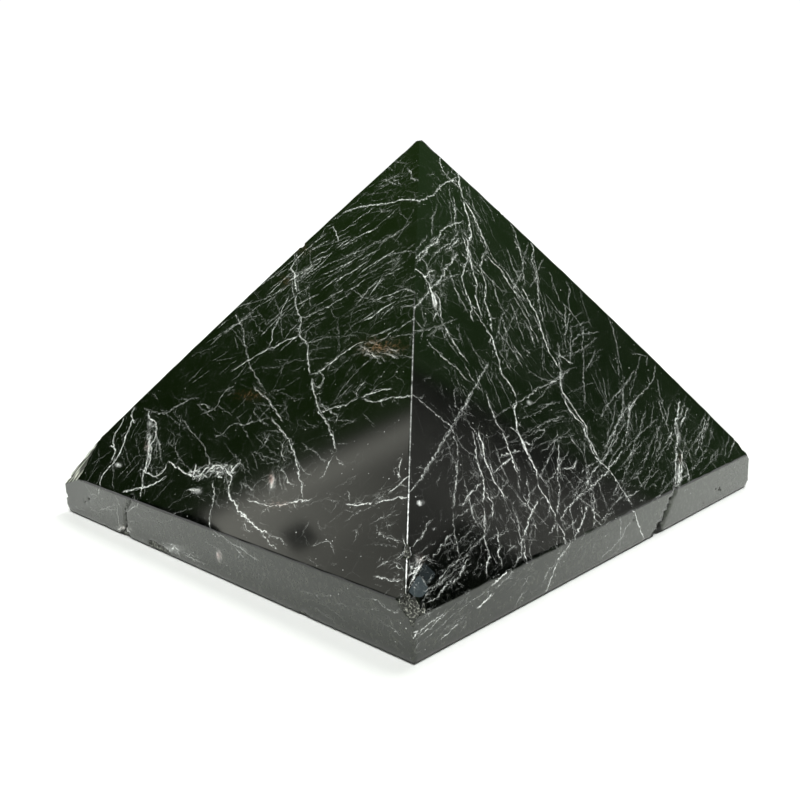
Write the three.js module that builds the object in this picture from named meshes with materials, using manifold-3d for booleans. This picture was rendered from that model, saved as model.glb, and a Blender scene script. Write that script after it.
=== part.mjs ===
// Black tourmaline pyramid: one cut and polished stone, a low square slab that runs up into
// four slightly crowned faces. Millimetres, +Z up, origin in the middle of the base on which
// the stone rests. South is -Y and east is +X. Every break, pit and crack is cut into the
// one solid; the pale veins lie flush in the polish, so they are colour and not shape.

import * as THREE from 'three';
import { mergeVertices } from 'three/addons/utils/BufferGeometryUtils.js';
import Module from 'manifold-3d';

const wasm = await Module();
wasm.setup();

// Driving dimensions of the cut shape
const WIDTH = 80.0; // base side along X
const DEPTH = 81.4; // base side along Y
const HEIGHT = 58.15; // base to the point where the four faces meet
const APEX_X = 2.6; // the apex was ground a little off centre
const APEX_Y = 2.2;
const CROWN = 0.37; // how far the middle of a polished face bulges
const CROWN_STEPS = 6; // flats that make up one crowned face

// Height of the slab's side at the ends of each face. The east face was ground deeper than
// the south one, so they differ at the south-east corner, where the front ridge runs out.
const SOUTH_SIDE = { start: 6.4, end: 6.7 };
const EAST_SIDE = { start: 5.25, end: 5.6 };
const NORTH_SIDE = { start: 5.6, end: 6.2 };
const WEST_SIDE = { start: 6.2, end: 6.4 };

// How rough a broken surface is, as a share of the breaking shape's radius
const BREAK_ROUGHNESS = 0.16;
const SLAB_BUMPS = 0.22; // mm
const SLAB_CELLS = 12;

const OVERSIZE = 90; // reach of the shapes that only cut, past the stone
const SOUTH = new THREE.Vector3(0, -1, 0);
const EAST = new THREE.Vector3(1, 0, 0);
const NORTH = new THREE.Vector3(0, 1, 0);
const WEST = new THREE.Vector3(-1, 0, 0);

// Breaks left by a flat blow: where each one passes, which way it faces, and its width
const FLAT_BREAKS = [
  { at: [-34.9, -40.3, 6.9], facing: [-0.2, -0.775, 0.596], size: 16 }, // south-west corner
  { at: [-39.1, -39.5, 6.7], facing: [-0.55, -0.48, 0.68], size: 12 }, // the same, outer part
  { at: [-39.6, -40.3, 0.5], facing: [-0.55, -0.55, -0.63], size: 5 }, // under that corner
  { at: [APEX_X - 0.1, APEX_Y - 0.1, HEIGHT - 0.45], facing: [-0.1, -0.25, 0.96], size: 4 },
  { at: [39.5, 40.2, 5.3], facing: [0.6, 0.3, 0.74], size: 4 }, // north-east corner
  { at: [39.5, 40.3, 0.5], facing: [0.5, 0.5, -0.7], size: 5 },
  { at: [-39.2, 40.2, 0.6], facing: [-0.6, 0.5, -0.62], size: 6 }, // north-west, below
  { at: [-39.4, 39.9, 5.6], facing: [-0.5, 0.62, 0.6], size: 5 }, // north-west, above
];

// Pits and nicks: centre and radii of the lump that came away
const PITS = [
  { at: [40.1, -40.8, 7.3], radii: [2.1, 2.1, 2.5] }, // front corner, where the ridge runs out
  { at: [39.0, -39.9, 8.5], radii: [0.9, 0.9, 1.3] },
  { at: [41.2, -41.6, 3.4], radii: [1.3, 1.2, 0.9] },
  { at: [-40.2, -41.0, 2.9], radii: [0.8, 0.9, 0.6] }, // notch in the south-west upright edge
  { at: [-20.7, -41.1, 0.3], radii: [1.5, 1.0, 1.0] }, // south side, foot of the crack
  { at: [-27.2, -41.2, -0.2], radii: [2.6, 0.9, 0.7] },
  { at: [-10.5, -41.1, 0.5], radii: [3.4, 0.7, 0.9] },
  { at: [21.5, -41.1, -0.2], radii: [1.5, 0.8, 0.7] },
  { at: [40.6, 6.4, -0.5], radii: [1.1, 2.6, 1.5] }, // east side, foot of the fissure
  { at: [40.5, 10.1, -0.2], radii: [1.9, 1.7, 1.9] },
  { at: [40.5, 29.6, 1.9], radii: [0.9, 1.5, 0.7] },
  { at: [40.5, 26.2, 1.4], radii: [0.7, 0.8, 0.5] },
  { at: [40.4, 31.0, -0.3], radii: [0.8, 2.2, 0.7] },
  { at: [33.7, -32.2, 14.9], radii: [0.6, 0.6, 0.6] }, // east face, beside the front ridge
  { at: [36.4, -37.6, 11.5], radii: [0.6, 0.6, 1.3] }, // front ridge, worn
  { at: [-11.0, -11.5, 42.8], radii: [0.6, 0.6, 0.9] }, // left ridge
  { at: [11.5, 11.4, 46.8], radii: [0.6, 0.6, 0.8] }, // right ridge
  { at: [18.0, 41.0, 5.7], radii: [2.4, 0.8, 0.7] }, // north side
  { at: [-14.0, 41.2, -0.1], radii: [2.0, 1.0, 0.8] },
  { at: [-40.5, 15.0, 6.6], radii: [0.8, 1.9, 0.8] }, // west side
  { at: [-40.6, -12.0, -0.1], radii: [0.9, 2.4, 0.8] },
  { at: [-12.9, 16.3, 40.5], radii: [0.6, 0.6, 1.1] }, // far ridge
];

// Open cracks: points on the surface as [x, y, z, width, depth]
const CRACKS = [
  {
    // east fissure
    facing: EAST,
    path: [
      [40, 15.3, 6.3, 0.3, 0.3],
      [40, 14.6, 5.0, 0.5, 0.5],
      [40, 13.3, 3.9, 0.4, 0.5],
      [40, 12.7, 3.0, 0.8, 0.8],
      [40, 11.5, 2.2, 1.1, 1.1],
      [40, 10.4, 1.0, 1.9, 1.5],
      [40, 9.6, -0.6, 2.8, 1.8],
    ],
  },
  {
    // south crack
    facing: SOUTH,
    path: [
      [-17.3, -40.7, 7.1, 0.25, 0.3],
      [-18.6, -40.7, 5.5, 0.4, 0.4],
      [-20.1, -40.7, 4.2, 0.35, 0.4],
      [-20.0, -40.7, 2.6, 0.6, 0.6],
      [-20.3, -40.7, 1.2, 0.8, 0.8],
    ],
  },
  {
    // short south crack
    facing: SOUTH,
    path: [
      [-31.0, -40.7, 4.0, 0.2, 0.2],
      [-32.3, -40.7, 3.5, 0.35, 0.3],
      [-33.2, -40.7, 2.9, 0.3, 0.3],
    ],
  },
  {
    // north crack
    facing: NORTH,
    path: [
      [-3.0, 40.7, 6.5, 0.3, 0.3],
      [-4.2, 40.7, 4.4, 0.5, 0.5],
      [-3.6, 40.7, 2.0, 0.4, 0.4],
      [-5.0, 40.7, -0.5, 0.8, 0.7],
    ],
  },
  {
    // west crack
    facing: WEST,
    path: [
      [-40, -22.0, 6.8, 0.3, 0.3],
      [-40, -20.6, 4.6, 0.4, 0.4],
      [-40, -21.8, 2.6, 0.6, 0.5],
      [-40, -20.9, 0.8, 0.5, 0.4],
    ],
  },
];

const apex = new THREE.Vector3(APEX_X, APEX_Y, HEIGHT);

function corner(eastward, northward, z) {
  return new THREE.Vector3((eastward * WIDTH) / 2, (northward * DEPTH) / 2, z);
}

function toSolid(geometry) {
  const shape = geometry.clone();
  shape.deleteAttribute('normal');
  shape.deleteAttribute('uv');
  const merged = mergeVertices(shape, 1e-5);
  return new wasm.Manifold(
    new wasm.Mesh({
      numProp: 3,
      vertProperties: new Float32Array(merged.attributes.position.array),
      triVerts: new Uint32Array(merged.index.array),
    }),
  );
}

function toGeometry(solid) {
  const mesh = solid.getMesh();
  const geometry = new THREE.BufferGeometry();
  geometry.setAttribute('position', new THREE.BufferAttribute(mesh.vertProperties, 3));
  geometry.setIndex(new THREE.BufferAttribute(mesh.triVerts, 1));
  geometry.computeVertexNormals();
  return geometry;
}

// A smooth uneven value between about -1 and 1, the same for the same point and seed
function unevenness(p, seed) {
  const a = Math.sin(3.1 * p.x + 1.7 * p.y + 2.3 * seed);
  const b = Math.sin(4.3 * p.y - 2.9 * p.z + 1.1 * seed);
  const c = Math.sin(3.7 * p.z + 2.1 * p.x + 3.7 * seed);
  return (a + b + c) / 2;
}

// Everything under one crowned face, whose lower edge runs from start to end, seen with the
// stone on the left, and whose top is the apex
function underFace(start, end) {
  const edge = end.clone().sub(start).normalize();
  const foot = start.clone().addScaledVector(edge, apex.clone().sub(start).dot(edge));
  const slope = apex.clone().sub(foot);
  const length = slope.length();
  slope.normalize();
  const outward = edge.clone().cross(slope);

  const outline = new THREE.Shape();
  outline.moveTo(-length, -OVERSIZE);
  for (let i = -CROWN_STEPS; i <= 2 * CROWN_STEPS; i += 1) {
    const t = i / CROWN_STEPS;
    const rise = 4 * CROWN * t * (1 - t);
    outline.lineTo(t * length, rise);
  }
  outline.lineTo(2 * length, -OVERSIZE);
  outline.closePath();

  const geometry = new THREE.ExtrudeGeometry(outline, { depth: 2 * OVERSIZE, bevelEnabled: false });
  geometry.translate(0, 0, -OVERSIZE);
  const basis = new THREE.Matrix4().makeBasis(slope, outward, edge).setPosition(foot);
  return toSolid(geometry.applyMatrix4(basis));
}

function cutBlock() {
  const box = new THREE.BoxGeometry(WIDTH, DEPTH, HEIGHT + 2);
  box.translate(0, 0, HEIGHT / 2 + 1);
  const faces = [
    underFace(corner(-1, -1, SOUTH_SIDE.start), corner(1, -1, SOUTH_SIDE.end)),
    underFace(corner(1, -1, EAST_SIDE.start), corner(1, 1, EAST_SIDE.end)),
    underFace(corner(1, 1, NORTH_SIDE.start), corner(-1, 1, NORTH_SIDE.end)),
    underFace(corner(-1, 1, WEST_SIDE.start), corner(-1, -1, WEST_SIDE.end)),
  ];
  return faces.reduce((block, face) => block.intersect(face), toSolid(box));
}

// A rough lump, to be taken away
function pit({ at, radii }, seed) {
  const ball = new THREE.IcosahedronGeometry(1, 2);
  const points = ball.attributes.position;
  const p = new THREE.Vector3();
  for (let i = 0; i < points.count; i += 1) {
    p.fromBufferAttribute(points, i);
    p.multiplyScalar(1 + BREAK_ROUGHNESS * unevenness(p, seed));
    points.setXYZ(i, at[0] + radii[0] * p.x, at[1] + radii[1] * p.y, at[2] + radii[2] * p.z);
  }
  return toSolid(ball);
}

// A slab with one uneven side, which takes away all that stands past a flat break
function flatBreak({ at, facing, size }, seed) {
  const thickness = size / 2;
  const slab = new THREE.BoxGeometry(size, size, thickness, SLAB_CELLS, SLAB_CELLS, 1);
  slab.translate(0, 0, thickness / 2);
  const points = slab.attributes.position;
  const p = new THREE.Vector3();
  for (let i = 0; i < points.count; i += 1) {
    p.fromBufferAttribute(points, i);
    if (p.z < thickness / 2) {
      points.setZ(i, SLAB_BUMPS * unevenness(p, seed));
    }
  }
  const outward = new THREE.Vector3(...facing).normalize();
  slab.applyQuaternion(new THREE.Quaternion().setFromUnitVectors(new THREE.Vector3(0, 0, 1), outward));
  slab.translate(...at);
  return toSolid(slab);
}

// A V-shaped groove along a path: three corners at each point, joined into a closed tube
function crack({ facing, path }) {
  const lift = 0.5; // the open side of the V stands this far outside the stone
  const corners = [];
  path.forEach(([x, y, z, width, depth], i) => {
    const here = new THREE.Vector3(x, y, z);
    const before = new THREE.Vector3(...path[Math.max(i - 1, 0)].slice(0, 3));
    const after = new THREE.Vector3(...path[Math.min(i + 1, path.length - 1)].slice(0, 3));
    const side = after.sub(before).cross(facing).normalize();
    const half = (width / 2) * (1 + lift / depth);
    corners.push(here.clone().addScaledVector(facing, -depth));
    corners.push(here.clone().addScaledVector(facing, lift).addScaledVector(side, -half));
    corners.push(here.clone().addScaledVector(facing, lift).addScaledVector(side, half));
  });

  const last = corners.length - 3;
  const triangles = [0, 2, 1, last, last + 1, last + 2];
  for (let k = 0; k < last; k += 3) {
    for (let c = 0; c < 3; c += 1) {
      const d = (c + 1) % 3;
      triangles.push(k + c, k + d, k + 3 + d, k + c, k + 3 + d, k + 3 + c);
    }
  }
  const tube = new THREE.BufferGeometry().setFromPoints(corners);
  tube.setIndex(triangles);
  return toSolid(tube);
}

function pyramid() {
  const broken = [
    ...FLAT_BREAKS.map((b, i) => flatBreak(b, i + 1)),
    ...PITS.map((b, i) => pit(b, i + 1)),
    ...CRACKS.map(crack),
  ];
  const stone = broken.reduce((solid, piece) => solid.subtract(piece), cutBlock());
  const polish = new THREE.MeshStandardMaterial({
    color: 0x171b15,
    roughness: 0.12,
    metalness: 0,
  });
  const mesh = new THREE.Mesh(toGeometry(stone), polish);
  mesh.name = 'tourmaline_pyramid';
  return mesh;
}

const model = new THREE.Group();
model.add(pyramid());

export default model;
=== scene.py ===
"""Black tourmaline pyramid, dressed. One stone, so one piece: its crowned faces and slab are
worked out on grids, its breaks are pressed into them, and its veins lie in the polish."""

import functools
import itertools
import math

import bmesh
import bpy
import numpy as np
from mathutils import Matrix, Vector


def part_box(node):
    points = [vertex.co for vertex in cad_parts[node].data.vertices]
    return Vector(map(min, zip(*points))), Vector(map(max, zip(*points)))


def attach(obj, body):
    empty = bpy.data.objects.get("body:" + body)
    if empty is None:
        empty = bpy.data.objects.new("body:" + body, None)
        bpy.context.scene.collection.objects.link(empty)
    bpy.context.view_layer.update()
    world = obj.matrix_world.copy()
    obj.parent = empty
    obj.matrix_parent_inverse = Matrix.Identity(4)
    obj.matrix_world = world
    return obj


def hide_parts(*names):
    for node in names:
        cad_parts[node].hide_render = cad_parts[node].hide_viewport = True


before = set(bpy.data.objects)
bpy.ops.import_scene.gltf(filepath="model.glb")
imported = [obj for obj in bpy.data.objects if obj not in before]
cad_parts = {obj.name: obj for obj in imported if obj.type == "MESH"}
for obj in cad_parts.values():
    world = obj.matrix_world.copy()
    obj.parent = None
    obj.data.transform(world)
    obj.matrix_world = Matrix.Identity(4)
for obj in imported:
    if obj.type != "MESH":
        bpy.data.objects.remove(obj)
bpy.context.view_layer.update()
MM = 0.001  # one millimetre in metres; sizes below are in millimetres


# The camera. The photograph was taken by hand, a little above the stone and turned slightly,
# and its sight line through any pixel is also what the routes of the visible veins are read by.
PHOTO_PX = 800  # sides of the square picture
FOCAL_PX = 866.0  # focal length, in the picture's pixels
SENSOR = 36.0  # its breadth in mm, which only sets the scale of the lens
CAMERA_AT = np.array([97.8, -99.4, 44.1])
CAMERA_AIM = np.array([-0.7, -0.7, 16.9])
CAMERA_ROLL = math.radians(-1.92)


def unit(v):
    """A vector, or each row of an array of vectors, brought to length 1."""
    return v / np.linalg.norm(v, axis=-1, keepdims=True)


def put_in_scene(name, data):
    """A new object of the data, linked to the scene."""
    thing = bpy.data.objects.new(name, data)
    bpy.context.scene.collection.objects.link(thing)
    return thing


ahead = unit(CAMERA_AIM - CAMERA_AT)
level = unit(np.cross(ahead, [0.0, 0.0, 1.0]))
plumb = np.cross(level, ahead)
sideways = math.cos(CAMERA_ROLL) * level + math.sin(CAMERA_ROLL) * plumb
upward = math.cos(CAMERA_ROLL) * plumb - math.sin(CAMERA_ROLL) * level

camera_data = bpy.data.cameras.new("camera")
camera_data.sensor_width = SENSOR
camera_data.lens = SENSOR * FOCAL_PX / PHOTO_PX
camera_data.clip_start = 0.01  # metres
camera = put_in_scene("camera", camera_data)
place = np.eye(4)
place[:3] = np.column_stack([sideways, upward, -ahead, CAMERA_AT * MM])
camera.matrix_world = Matrix(place.tolist())
bpy.context.scene.camera = camera


# The cut stone: black tourmaline, sawn to a low square slab and ground above it to four faces
# that meet in a point. The lap left each face slightly crowned and each ridge a hair round.
low, high = (np.array(corner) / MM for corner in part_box("tourmaline_pyramid"))
HALF_X = (high[0] - low[0]) / 2
HALF_Y = (high[1] - low[1]) / 2
APEX = np.array([2.6, 2.2, 58.15])  # where the faces would meet; the tip itself is blunted
CROWN = 0.37  # bulge in the middle of a face
SOUTH_SIDE = (6.4, 6.7)  # height of the slab's side at the ends of each face
EAST_SIDE = (5.25, 5.6)
NORTH_SIDE = (5.6, 6.2)
WEST_SIDE = (6.2, 6.4)
ROWS = 170  # rows of points up a face, about 0.45 mm apart along its ridges
SHORT_ROWS = 8  # at the top, too short for the close lines below
SIDE_ROWS = 16  # up a side of the slab
SLAB_HEIGHT = 6.0  # of the slab's sides, in the mean
CLOSE = (0.15, 0.26)  # two lines of points beside every edge, which keep its rounding narrow
BEND_ROWS = 14  # rows over which the east face's foot turns down at the front corner
ROUNDING = 0.046  # how far an edge lies inside the sharp one
CRISP = (32.0, 40.0)  # heights between which the front ridge's rounding gives out
RINGS = (0.15, 0.26, 0.7, 1.2, 1.8, 2.6, 3.6)  # insets of the rings round the underside
WELD = 4  # decimals in which the points agree that belong to two grids


class Surface:
    """One outer surface over its lower edge. edge, slope and outward are its unit vectors and
    foot the point of the lower edge below top; it bulges by 4 crown t (1 - t) at height t."""

    def __init__(self, start, end, top, crown):
        self.edge = unit(end - start)
        self.foot = start + self.edge * ((top - start) @ self.edge)
        self.length = np.linalg.norm(top - self.foot)
        self.slope = (top - self.foot) / self.length
        self.outward = np.cross(self.edge, self.slope)
        self.crown = crown

    def flat(self, p):
        """Distance along the lower edge and up the slope of each point."""
        return np.stack([(p - self.foot) @ self.edge, (p - self.foot) @ self.slope], -1)

    def bulge(self, p):
        """4 crown t (1 - t), with t the share of the slope that lies below the point."""
        t = (p - self.foot) @ self.slope / self.length
        return 4 * self.crown * t * (1 - t)

    def height(self, p):
        """How far each point stands outside the surface."""
        return (p - self.foot) @ self.outward - self.bulge(p)

    def drop(self, p):
        """The points moved straight onto the surface."""
        return p - self.height(p)[:, None] * self.outward


def corner(east, north, z):
    """The point over a corner of the base at height z."""
    return np.array([east * HALF_X, north * HALF_Y, z])


def face(a, b, heights):
    """The polished face between corners a and b of the slab, crowned."""
    return Surface(corner(*a, heights[0]), corner(*b, heights[1]), APEX, CROWN)


def side(a, b):
    """The upright side of the slab between corners a and b."""
    return Surface(corner(*a, 0.0), corner(*b, 0.0), corner(*a, SLAB_HEIGHT), 0.0)


SW, SE, NE, NW = (-1, -1), (1, -1), (1, 1), (-1, 1)
south, east = face(SW, SE, SOUTH_SIDE), face(SE, NE, EAST_SIDE)
north, west = face(NE, NW, NORTH_SIDE), face(NW, SW, WEST_SIDE)
south_side, east_side = side(SW, SE), side(SE, NE)
north_side, west_side = side(NE, NW), side(NW, SW)
surfaces = [south, east, north, west, south_side, east_side, north_side, west_side]


def meet(p, *walls):
    """The points p moved onto all the walls at once, by six of Newton's steps across the
    walls' normals."""
    across = np.linalg.pinv(np.array([wall.outward for wall in walls]))
    for _ in range(6):
        p = p - np.stack([wall.height(p) for wall in walls], -1) @ across.T
    return p


def ridge(a, b, foot):
    """Where faces a and b meet, from the top down to foot: evenly spread points and, at the
    foot, the two close ones."""
    length = np.linalg.norm(foot - APEX)
    share = np.linspace(0, 1 - CLOSE[1] / length, ROWS - 1)
    share = np.concatenate([share, [1 - CLOSE[0] / length, 1]])
    return meet(APEX + (foot - APEX) * share[:, None], a, b)


# The south face's side stands higher than the east face's at the front corner, so the front
# ridge runs out on the south side, at the point where those three surfaces meet.
front_foot = meet(corner(*SE, SOUTH_SIDE[1])[None], south, east, south_side)[0]
front_corner = corner(*SE, EAST_SIDE[0])
ridges = {
    "front": ridge(south, east, front_foot),
    "left": ridge(west, south, corner(*SW, SOUTH_SIDE[0])),
    "right": ridge(east, north, corner(*NE, EAST_SIDE[1])),
    "back": ridge(north, west, corner(*NW, NORTH_SIDE[1])),
}
row_of = np.repeat(np.arange(ROWS + 1), np.arange(1, ROWS + 2))
column_of = np.arange(row_of.size) - row_of * (row_of + 1) // 2


def across_row(width):
    """For each point of a triangular grid, its share of the way across its row: the close lines
    at CLOSE from either end, the others evenly between them, and short rows even all over."""
    row = np.maximum(row_of, 1)
    column = column_of.astype(float)
    back = row - column
    inner = np.maximum(row - 4, 1)  # even steps between the close lines
    place = CLOSE[1] + (column - 2) * (width - 2 * CLOSE[1]) / inner
    place = np.where(column == 1, CLOSE[0], place)
    place = np.where(back == 1, width - CLOSE[0], place)
    place = np.where(column == 0, 0.0, place)
    place = np.where(back == 0, width, place)
    return np.where(row_of < SHORT_ROWS, column / row, place / np.maximum(width, 1e-9))


def distances_along(line):
    """How far along a line of points each of them lies."""
    return np.concatenate([[0], np.cumsum(np.linalg.norm(np.diff(line, axis=0), axis=1))])


def between(at, knots, line):
    """The points at distances at along a line whose own points lie at distances knots."""
    return np.stack([np.interp(at, knots, values) for values in line.T], -1)


def face_grid(surface, left, right, foot=None):
    """A triangular grid: row j runs straight from left[j] to right[j], then drops onto the
    crowned surface. With foot, the last rows bend so that the lowest one follows that line."""
    start, end = left[row_of], right[row_of]
    share = across_row(np.linalg.norm(end - start, axis=1))
    p = start + (end - start) * share[:, None]
    if foot is not None:
        line = left[-1] + (right[-1] - left[-1]) * share[-(ROWS + 1):, None]
        bend = foot(share[-(ROWS + 1):]) - line
        weight = np.clip((row_of - ROWS + BEND_ROWS) / BEND_ROWS, 0, 1) ** 2
        p = p + weight[:, None] * between(share, share[-(ROWS + 1):], bend)
    return surface.drop(p)


def east_foot(share):
    """The east face's foot: down the south side from the ridge's end, then along the slab."""
    line = np.array([front_foot, front_corner, corner(*NE, EAST_SIDE[1])])
    run = distances_along(line)
    knots = run / run[-1]
    knots[1] = share[np.argmin(abs(share - knots[1]))]
    return between(share, knots, line)


def face_triangles():
    """Corners of a triangular grid's triangles, counted from its own first point."""
    j, i = row_of[:-(ROWS + 1)], column_of[:-(ROWS + 1)]
    here, below = j * (j + 1) // 2 + i, (j + 1) * (j + 2) // 2 + i
    upright = np.stack([here, below, below + 1], -1)
    inside = i < j
    hanging = np.stack([here, below + 1, here + 1], -1)[inside]
    return np.concatenate([upright, hanging])


def side_grid(top):
    """A side of the slab, ruled straight down from the line of points top to the base, with two
    close lines at either end."""
    first, second = CLOSE[0] / SLAB_HEIGHT, CLOSE[1] / SLAB_HEIGHT
    share = np.linspace(second, 1 - second, SIDE_ROWS - 3)
    share = np.concatenate([[0, first], share, [1 - first, 1]])
    p = np.repeat(top[None], share.size, axis=0)
    p[..., 2] *= 1 - share[:, None]
    return p


def grid_quads(rows, columns):
    """Corners of the quads of a grid of rows by columns points, counted from its first."""
    r, c = np.meshgrid(np.arange(rows - 1), np.arange(columns - 1), indexing="ij")
    first = (r * columns + c).ravel()
    return np.stack([first, first + columns, first + columns + 1, first + 1], -1)


grids = [
    face_grid(south, ridges["left"], ridges["front"]),
    face_grid(east, ridges["front"], ridges["right"], east_foot),
    face_grid(north, ridges["right"], ridges["back"]),
    face_grid(west, ridges["back"], ridges["left"]),
]
feet = [grid[-(ROWS + 1):] for grid in grids]
turn = int(np.argmin(np.linalg.norm(feet[1] - front_corner, axis=1)))
tops = [np.concatenate([feet[0], feet[1][1:turn + 1]]), feet[1][turn:], feet[2], feet[3]]
points, triangles, quads, total = [], [], [], 0
for grid in grids:
    points.append(grid)
    triangles.append(face_triangles() + total)
    total += len(grid)
outline = []
for top in tops:
    grid = side_grid(top)
    points.append(grid.reshape(-1, 3))
    quads.append(grid_quads(*grid.shape[:2]) + total)
    total += grid.shape[0] * grid.shape[1]
    outline.append(grid[-1, :-1])
outline = np.concatenate(outline + [outline[0][:1]])
insets = [1 - inset / np.array([HALF_X, HALF_Y, 1.0]) for inset in (0, *RINGS)]
under = np.stack([outline * np.array([sx, sy, 0.0]) for sx, sy, _ in insets])
points.append(under.reshape(-1, 3))
quads.append(grid_quads(*under.shape[:2]) + total)
middle = total + (under.shape[0] - 1) * under.shape[1] + np.arange(under.shape[1] - 1)[::-1]

# Each point that belongs to two grids is kept once, so the skin is closed
points = np.concatenate(points)
_, kept, same = np.unique(np.round(points, WELD), axis=0, return_index=True, return_inverse=True)
same = same.ravel()
faces = same[np.concatenate(triangles)].tolist() + same[np.concatenate(quads)].tolist()
faces.append(same[middle].tolist())
stone_mesh = bpy.data.meshes.new("tourmaline_stone")
stone_mesh.from_pydata(points[kept], [], faces)


# What broke away. The slab was knocked at its corners, chipped along its lower edge and cracked
# on its sides; a fresh break in tourmaline is uneven, gritty and dull beside the polish.
FLAT_BREAKS = [  # where each passes, which way it faces, how far it reaches, unevenness, paleness
    ((-34.9, -40.3, 6.9), (-0.2, -0.775, 0.596), 16, 0.025, 1.0),
    ((-39.1, -39.5, 6.7), (-0.55, -0.48, 0.68), 12, 0.06, 0.9),
    ((-39.6, -40.3, 0.5), (-0.55, -0.55, -0.63), 5, 0.09, 0.2),
    ((APEX[0] - 0.1, APEX[1] - 0.1, APEX[2] - 0.45), (-0.1, -0.25, 0.96), 4, 0.06, 0.3),
    ((39.1, 39.8, 6.5), (0.62, 0.5, 0.6), 4.4, 0.07, 0.3),
    ((39.5, 40.3, 0.5), (0.5, 0.5, -0.7), 5, 0.09, 0.1),
    ((-39.2, 40.2, 0.6), (-0.6, 0.5, -0.62), 6, 0.09, 0.3),
    ((-39.4, 39.9, 5.6), (-0.5, 0.62, 0.6), 6, 0.08, 0.35),
]
PITS = [  # centre and radii of each lump that came away, and how rough it left the stone
    ((40.2, -40.9, 6.8), (1.7, 1.7, 1.9), 0.28),
    ((40.4, -41.1, 5.0), (1.1, 1.1, 1.4), 0.22),
    ((38.9, -41.1, 6.9), (1.0, 0.9, 1.1), 0.25),
    ((40.4, -39.4, 6.0), (0.9, 1.4, 0.8), 0.25),
    ((38.9, -39.7, 8.5), (0.7, 0.7, 0.8), 0.15),
    ((-39.1, -40.7, 6.2), (1.1, 0.8, 0.7), 0.2),
    ((-40.0, -39.6, 5.9), (0.8, 1.0, 0.7), 0.2),
    ((41.2, -41.6, 3.4), (1.3, 1.2, 0.9), 0.05),
    ((-40.2, -41.0, 2.9), (0.8, 0.9, 0.6), 0.05),
    ((-20.7, -41.1, 0.3), (1.5, 1.0, 1.0), 0.05),
    ((-27.2, -41.2, -0.2), (2.6, 0.9, 0.7), 0.05),
    ((-10.5, -41.1, 0.5), (3.4, 0.7, 0.9), 0.05),
    ((21.5, -41.1, -0.2), (1.5, 0.8, 0.7), 0.05),
    ((40.6, 6.2, -0.4), (0.9, 1.5, 0.9), 0.12),
    ((40.3, 29.8, 2.0), (0.45, 0.7, 0.35), 0.08),
    ((40.3, 28.6, 2.4), (0.4, 0.3, 0.3), 0.05),
    ((40.3, 24.2, 1.2), (0.4, 0.4, 0.3), 0.05),
    ((40.3, 3.2, 4.1), (0.4, 0.35, 0.3), 0.05),
    ((40.4, 31.0, -0.3), (0.8, 2.2, 0.7), 0.05),
    ((36.4, -37.6, 11.5), (0.6, 0.6, 1.3), 0.05),
    ((-11.0, -11.5, 42.8), (0.6, 0.6, 0.9), 0.05),
    ((11.3, 11.2, 46.8), (0.35, 0.35, 0.8), 0.05),
    ((18.0, 41.0, 5.7), (2.4, 0.8, 0.7), 0.05),
    ((-14.0, 41.2, -0.1), (2.0, 1.0, 0.8), 0.05),
    ((-40.5, 15.0, 6.6), (0.8, 1.9, 0.8), 0.05),
    ((-40.6, -12.0, -0.1), (0.9, 2.4, 0.8), 0.05),
    ((-12.9, 16.3, 40.5), (0.6, 0.6, 1.1), 0.05),
]
CRACKS = [  # the side each is on, and its points with the crack's width and depth there
    (east_side, [
        (40, 15.3, 6.3, 0.4, 0.8), (40, 14.9, 5.2, 0.55, 1.2), (40, 13.9, 4.5, 0.35, 0.8),
        (40, 13.4, 3.8, 0.6, 1.4), (40, 12.8, 3.1, 0.45, 1.1), (40, 12.1, 2.5, 0.8, 1.8),
        (40, 11.2, 1.6, 1.0, 2.2), (40, 10.4, 0.8, 1.6, 2.2), (40, 9.8, 0.2, 2.0, 1.2),
    ]),
    (south_side, [
        (-17.3, -40.7, 7.1, 0.15, 0.3), (-18.4, -40.7, 5.6, 0.25, 0.6),
        (-20.0, -40.7, 4.4, 0.2, 0.4), (-19.8, -40.7, 2.6, 0.35, 0.8),
        (-20.3, -40.7, 1.2, 0.6, 0.9),
    ]),
    (south_side, [
        (-31.0, -40.7, 4.0, 0.15, 0.2), (-32.3, -40.7, 3.5, 0.25, 0.3),
        (-33.2, -40.7, 2.9, 0.2, 0.3),
    ]),
    (north_side, [
        (-3.0, 40.7, 6.5, 0.3, 0.3), (-4.2, 40.7, 4.4, 0.5, 0.5), (-3.6, 40.7, 2.0, 0.4, 0.4),
        (-5.0, 40.7, -0.5, 0.8, 0.7),
    ]),
    (west_side, [
        (-40, -22.0, 6.8, 0.3, 0.3), (-40, -20.6, 4.6, 0.4, 0.4), (-40, -21.8, 2.6, 0.6, 0.5),
        (-40, -20.9, 0.8, 0.5, 0.4),
    ]),
]
GRIT = ((0.6, 2.3, 5), (0.4, 5.1, 9))  # share, fineness and seed of each layer of the grit
BREAK_GRIT = 0.5  # how much of that a flat break's unevenness has
PIT_ROUGHNESS = 0.24  # a pit's unevenness, as a share of its radius
PIT_PALENESS = 0.35
RAGGED = 0.3  # how far a crack's edges stray, as a share of its width
CRACK_REACH = 3.0  # how far behind its side a crack can still be met
HEART = np.array([0.0, 0.0, 12.0])  # what a pit's blow is aimed at
REFINE_NEAR = (0.4, 0.12)  # depth around the breaks within which each pass halves the edges
TOUCH = 0.01  # distance within which a point lies on a surface
FACES_ABOVE = 5.0  # heights from which up the faces and down the sides are looked for
SIDES_BELOW = 6.9
WEAR_SPREAD = 0.6  # share by which the rounding varies along an edge
WEAR_WAVES = 0.4  # how quickly it does so
OVER = 0.6  # how far up the south face its foot is ground over
OVER_TILT = 0.18  # how far its edge leans out there, in radians
OVER_AT = ((-36, -30, -6, 6), (0, 1, 1, 0))  # eastings along the foot, and how much of it there
FOOT_WEAR_AND_SHADE = 0.45  # how far up the slab's lower edge is worn round, and painted dark and dull there as painted shade along the table
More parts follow.
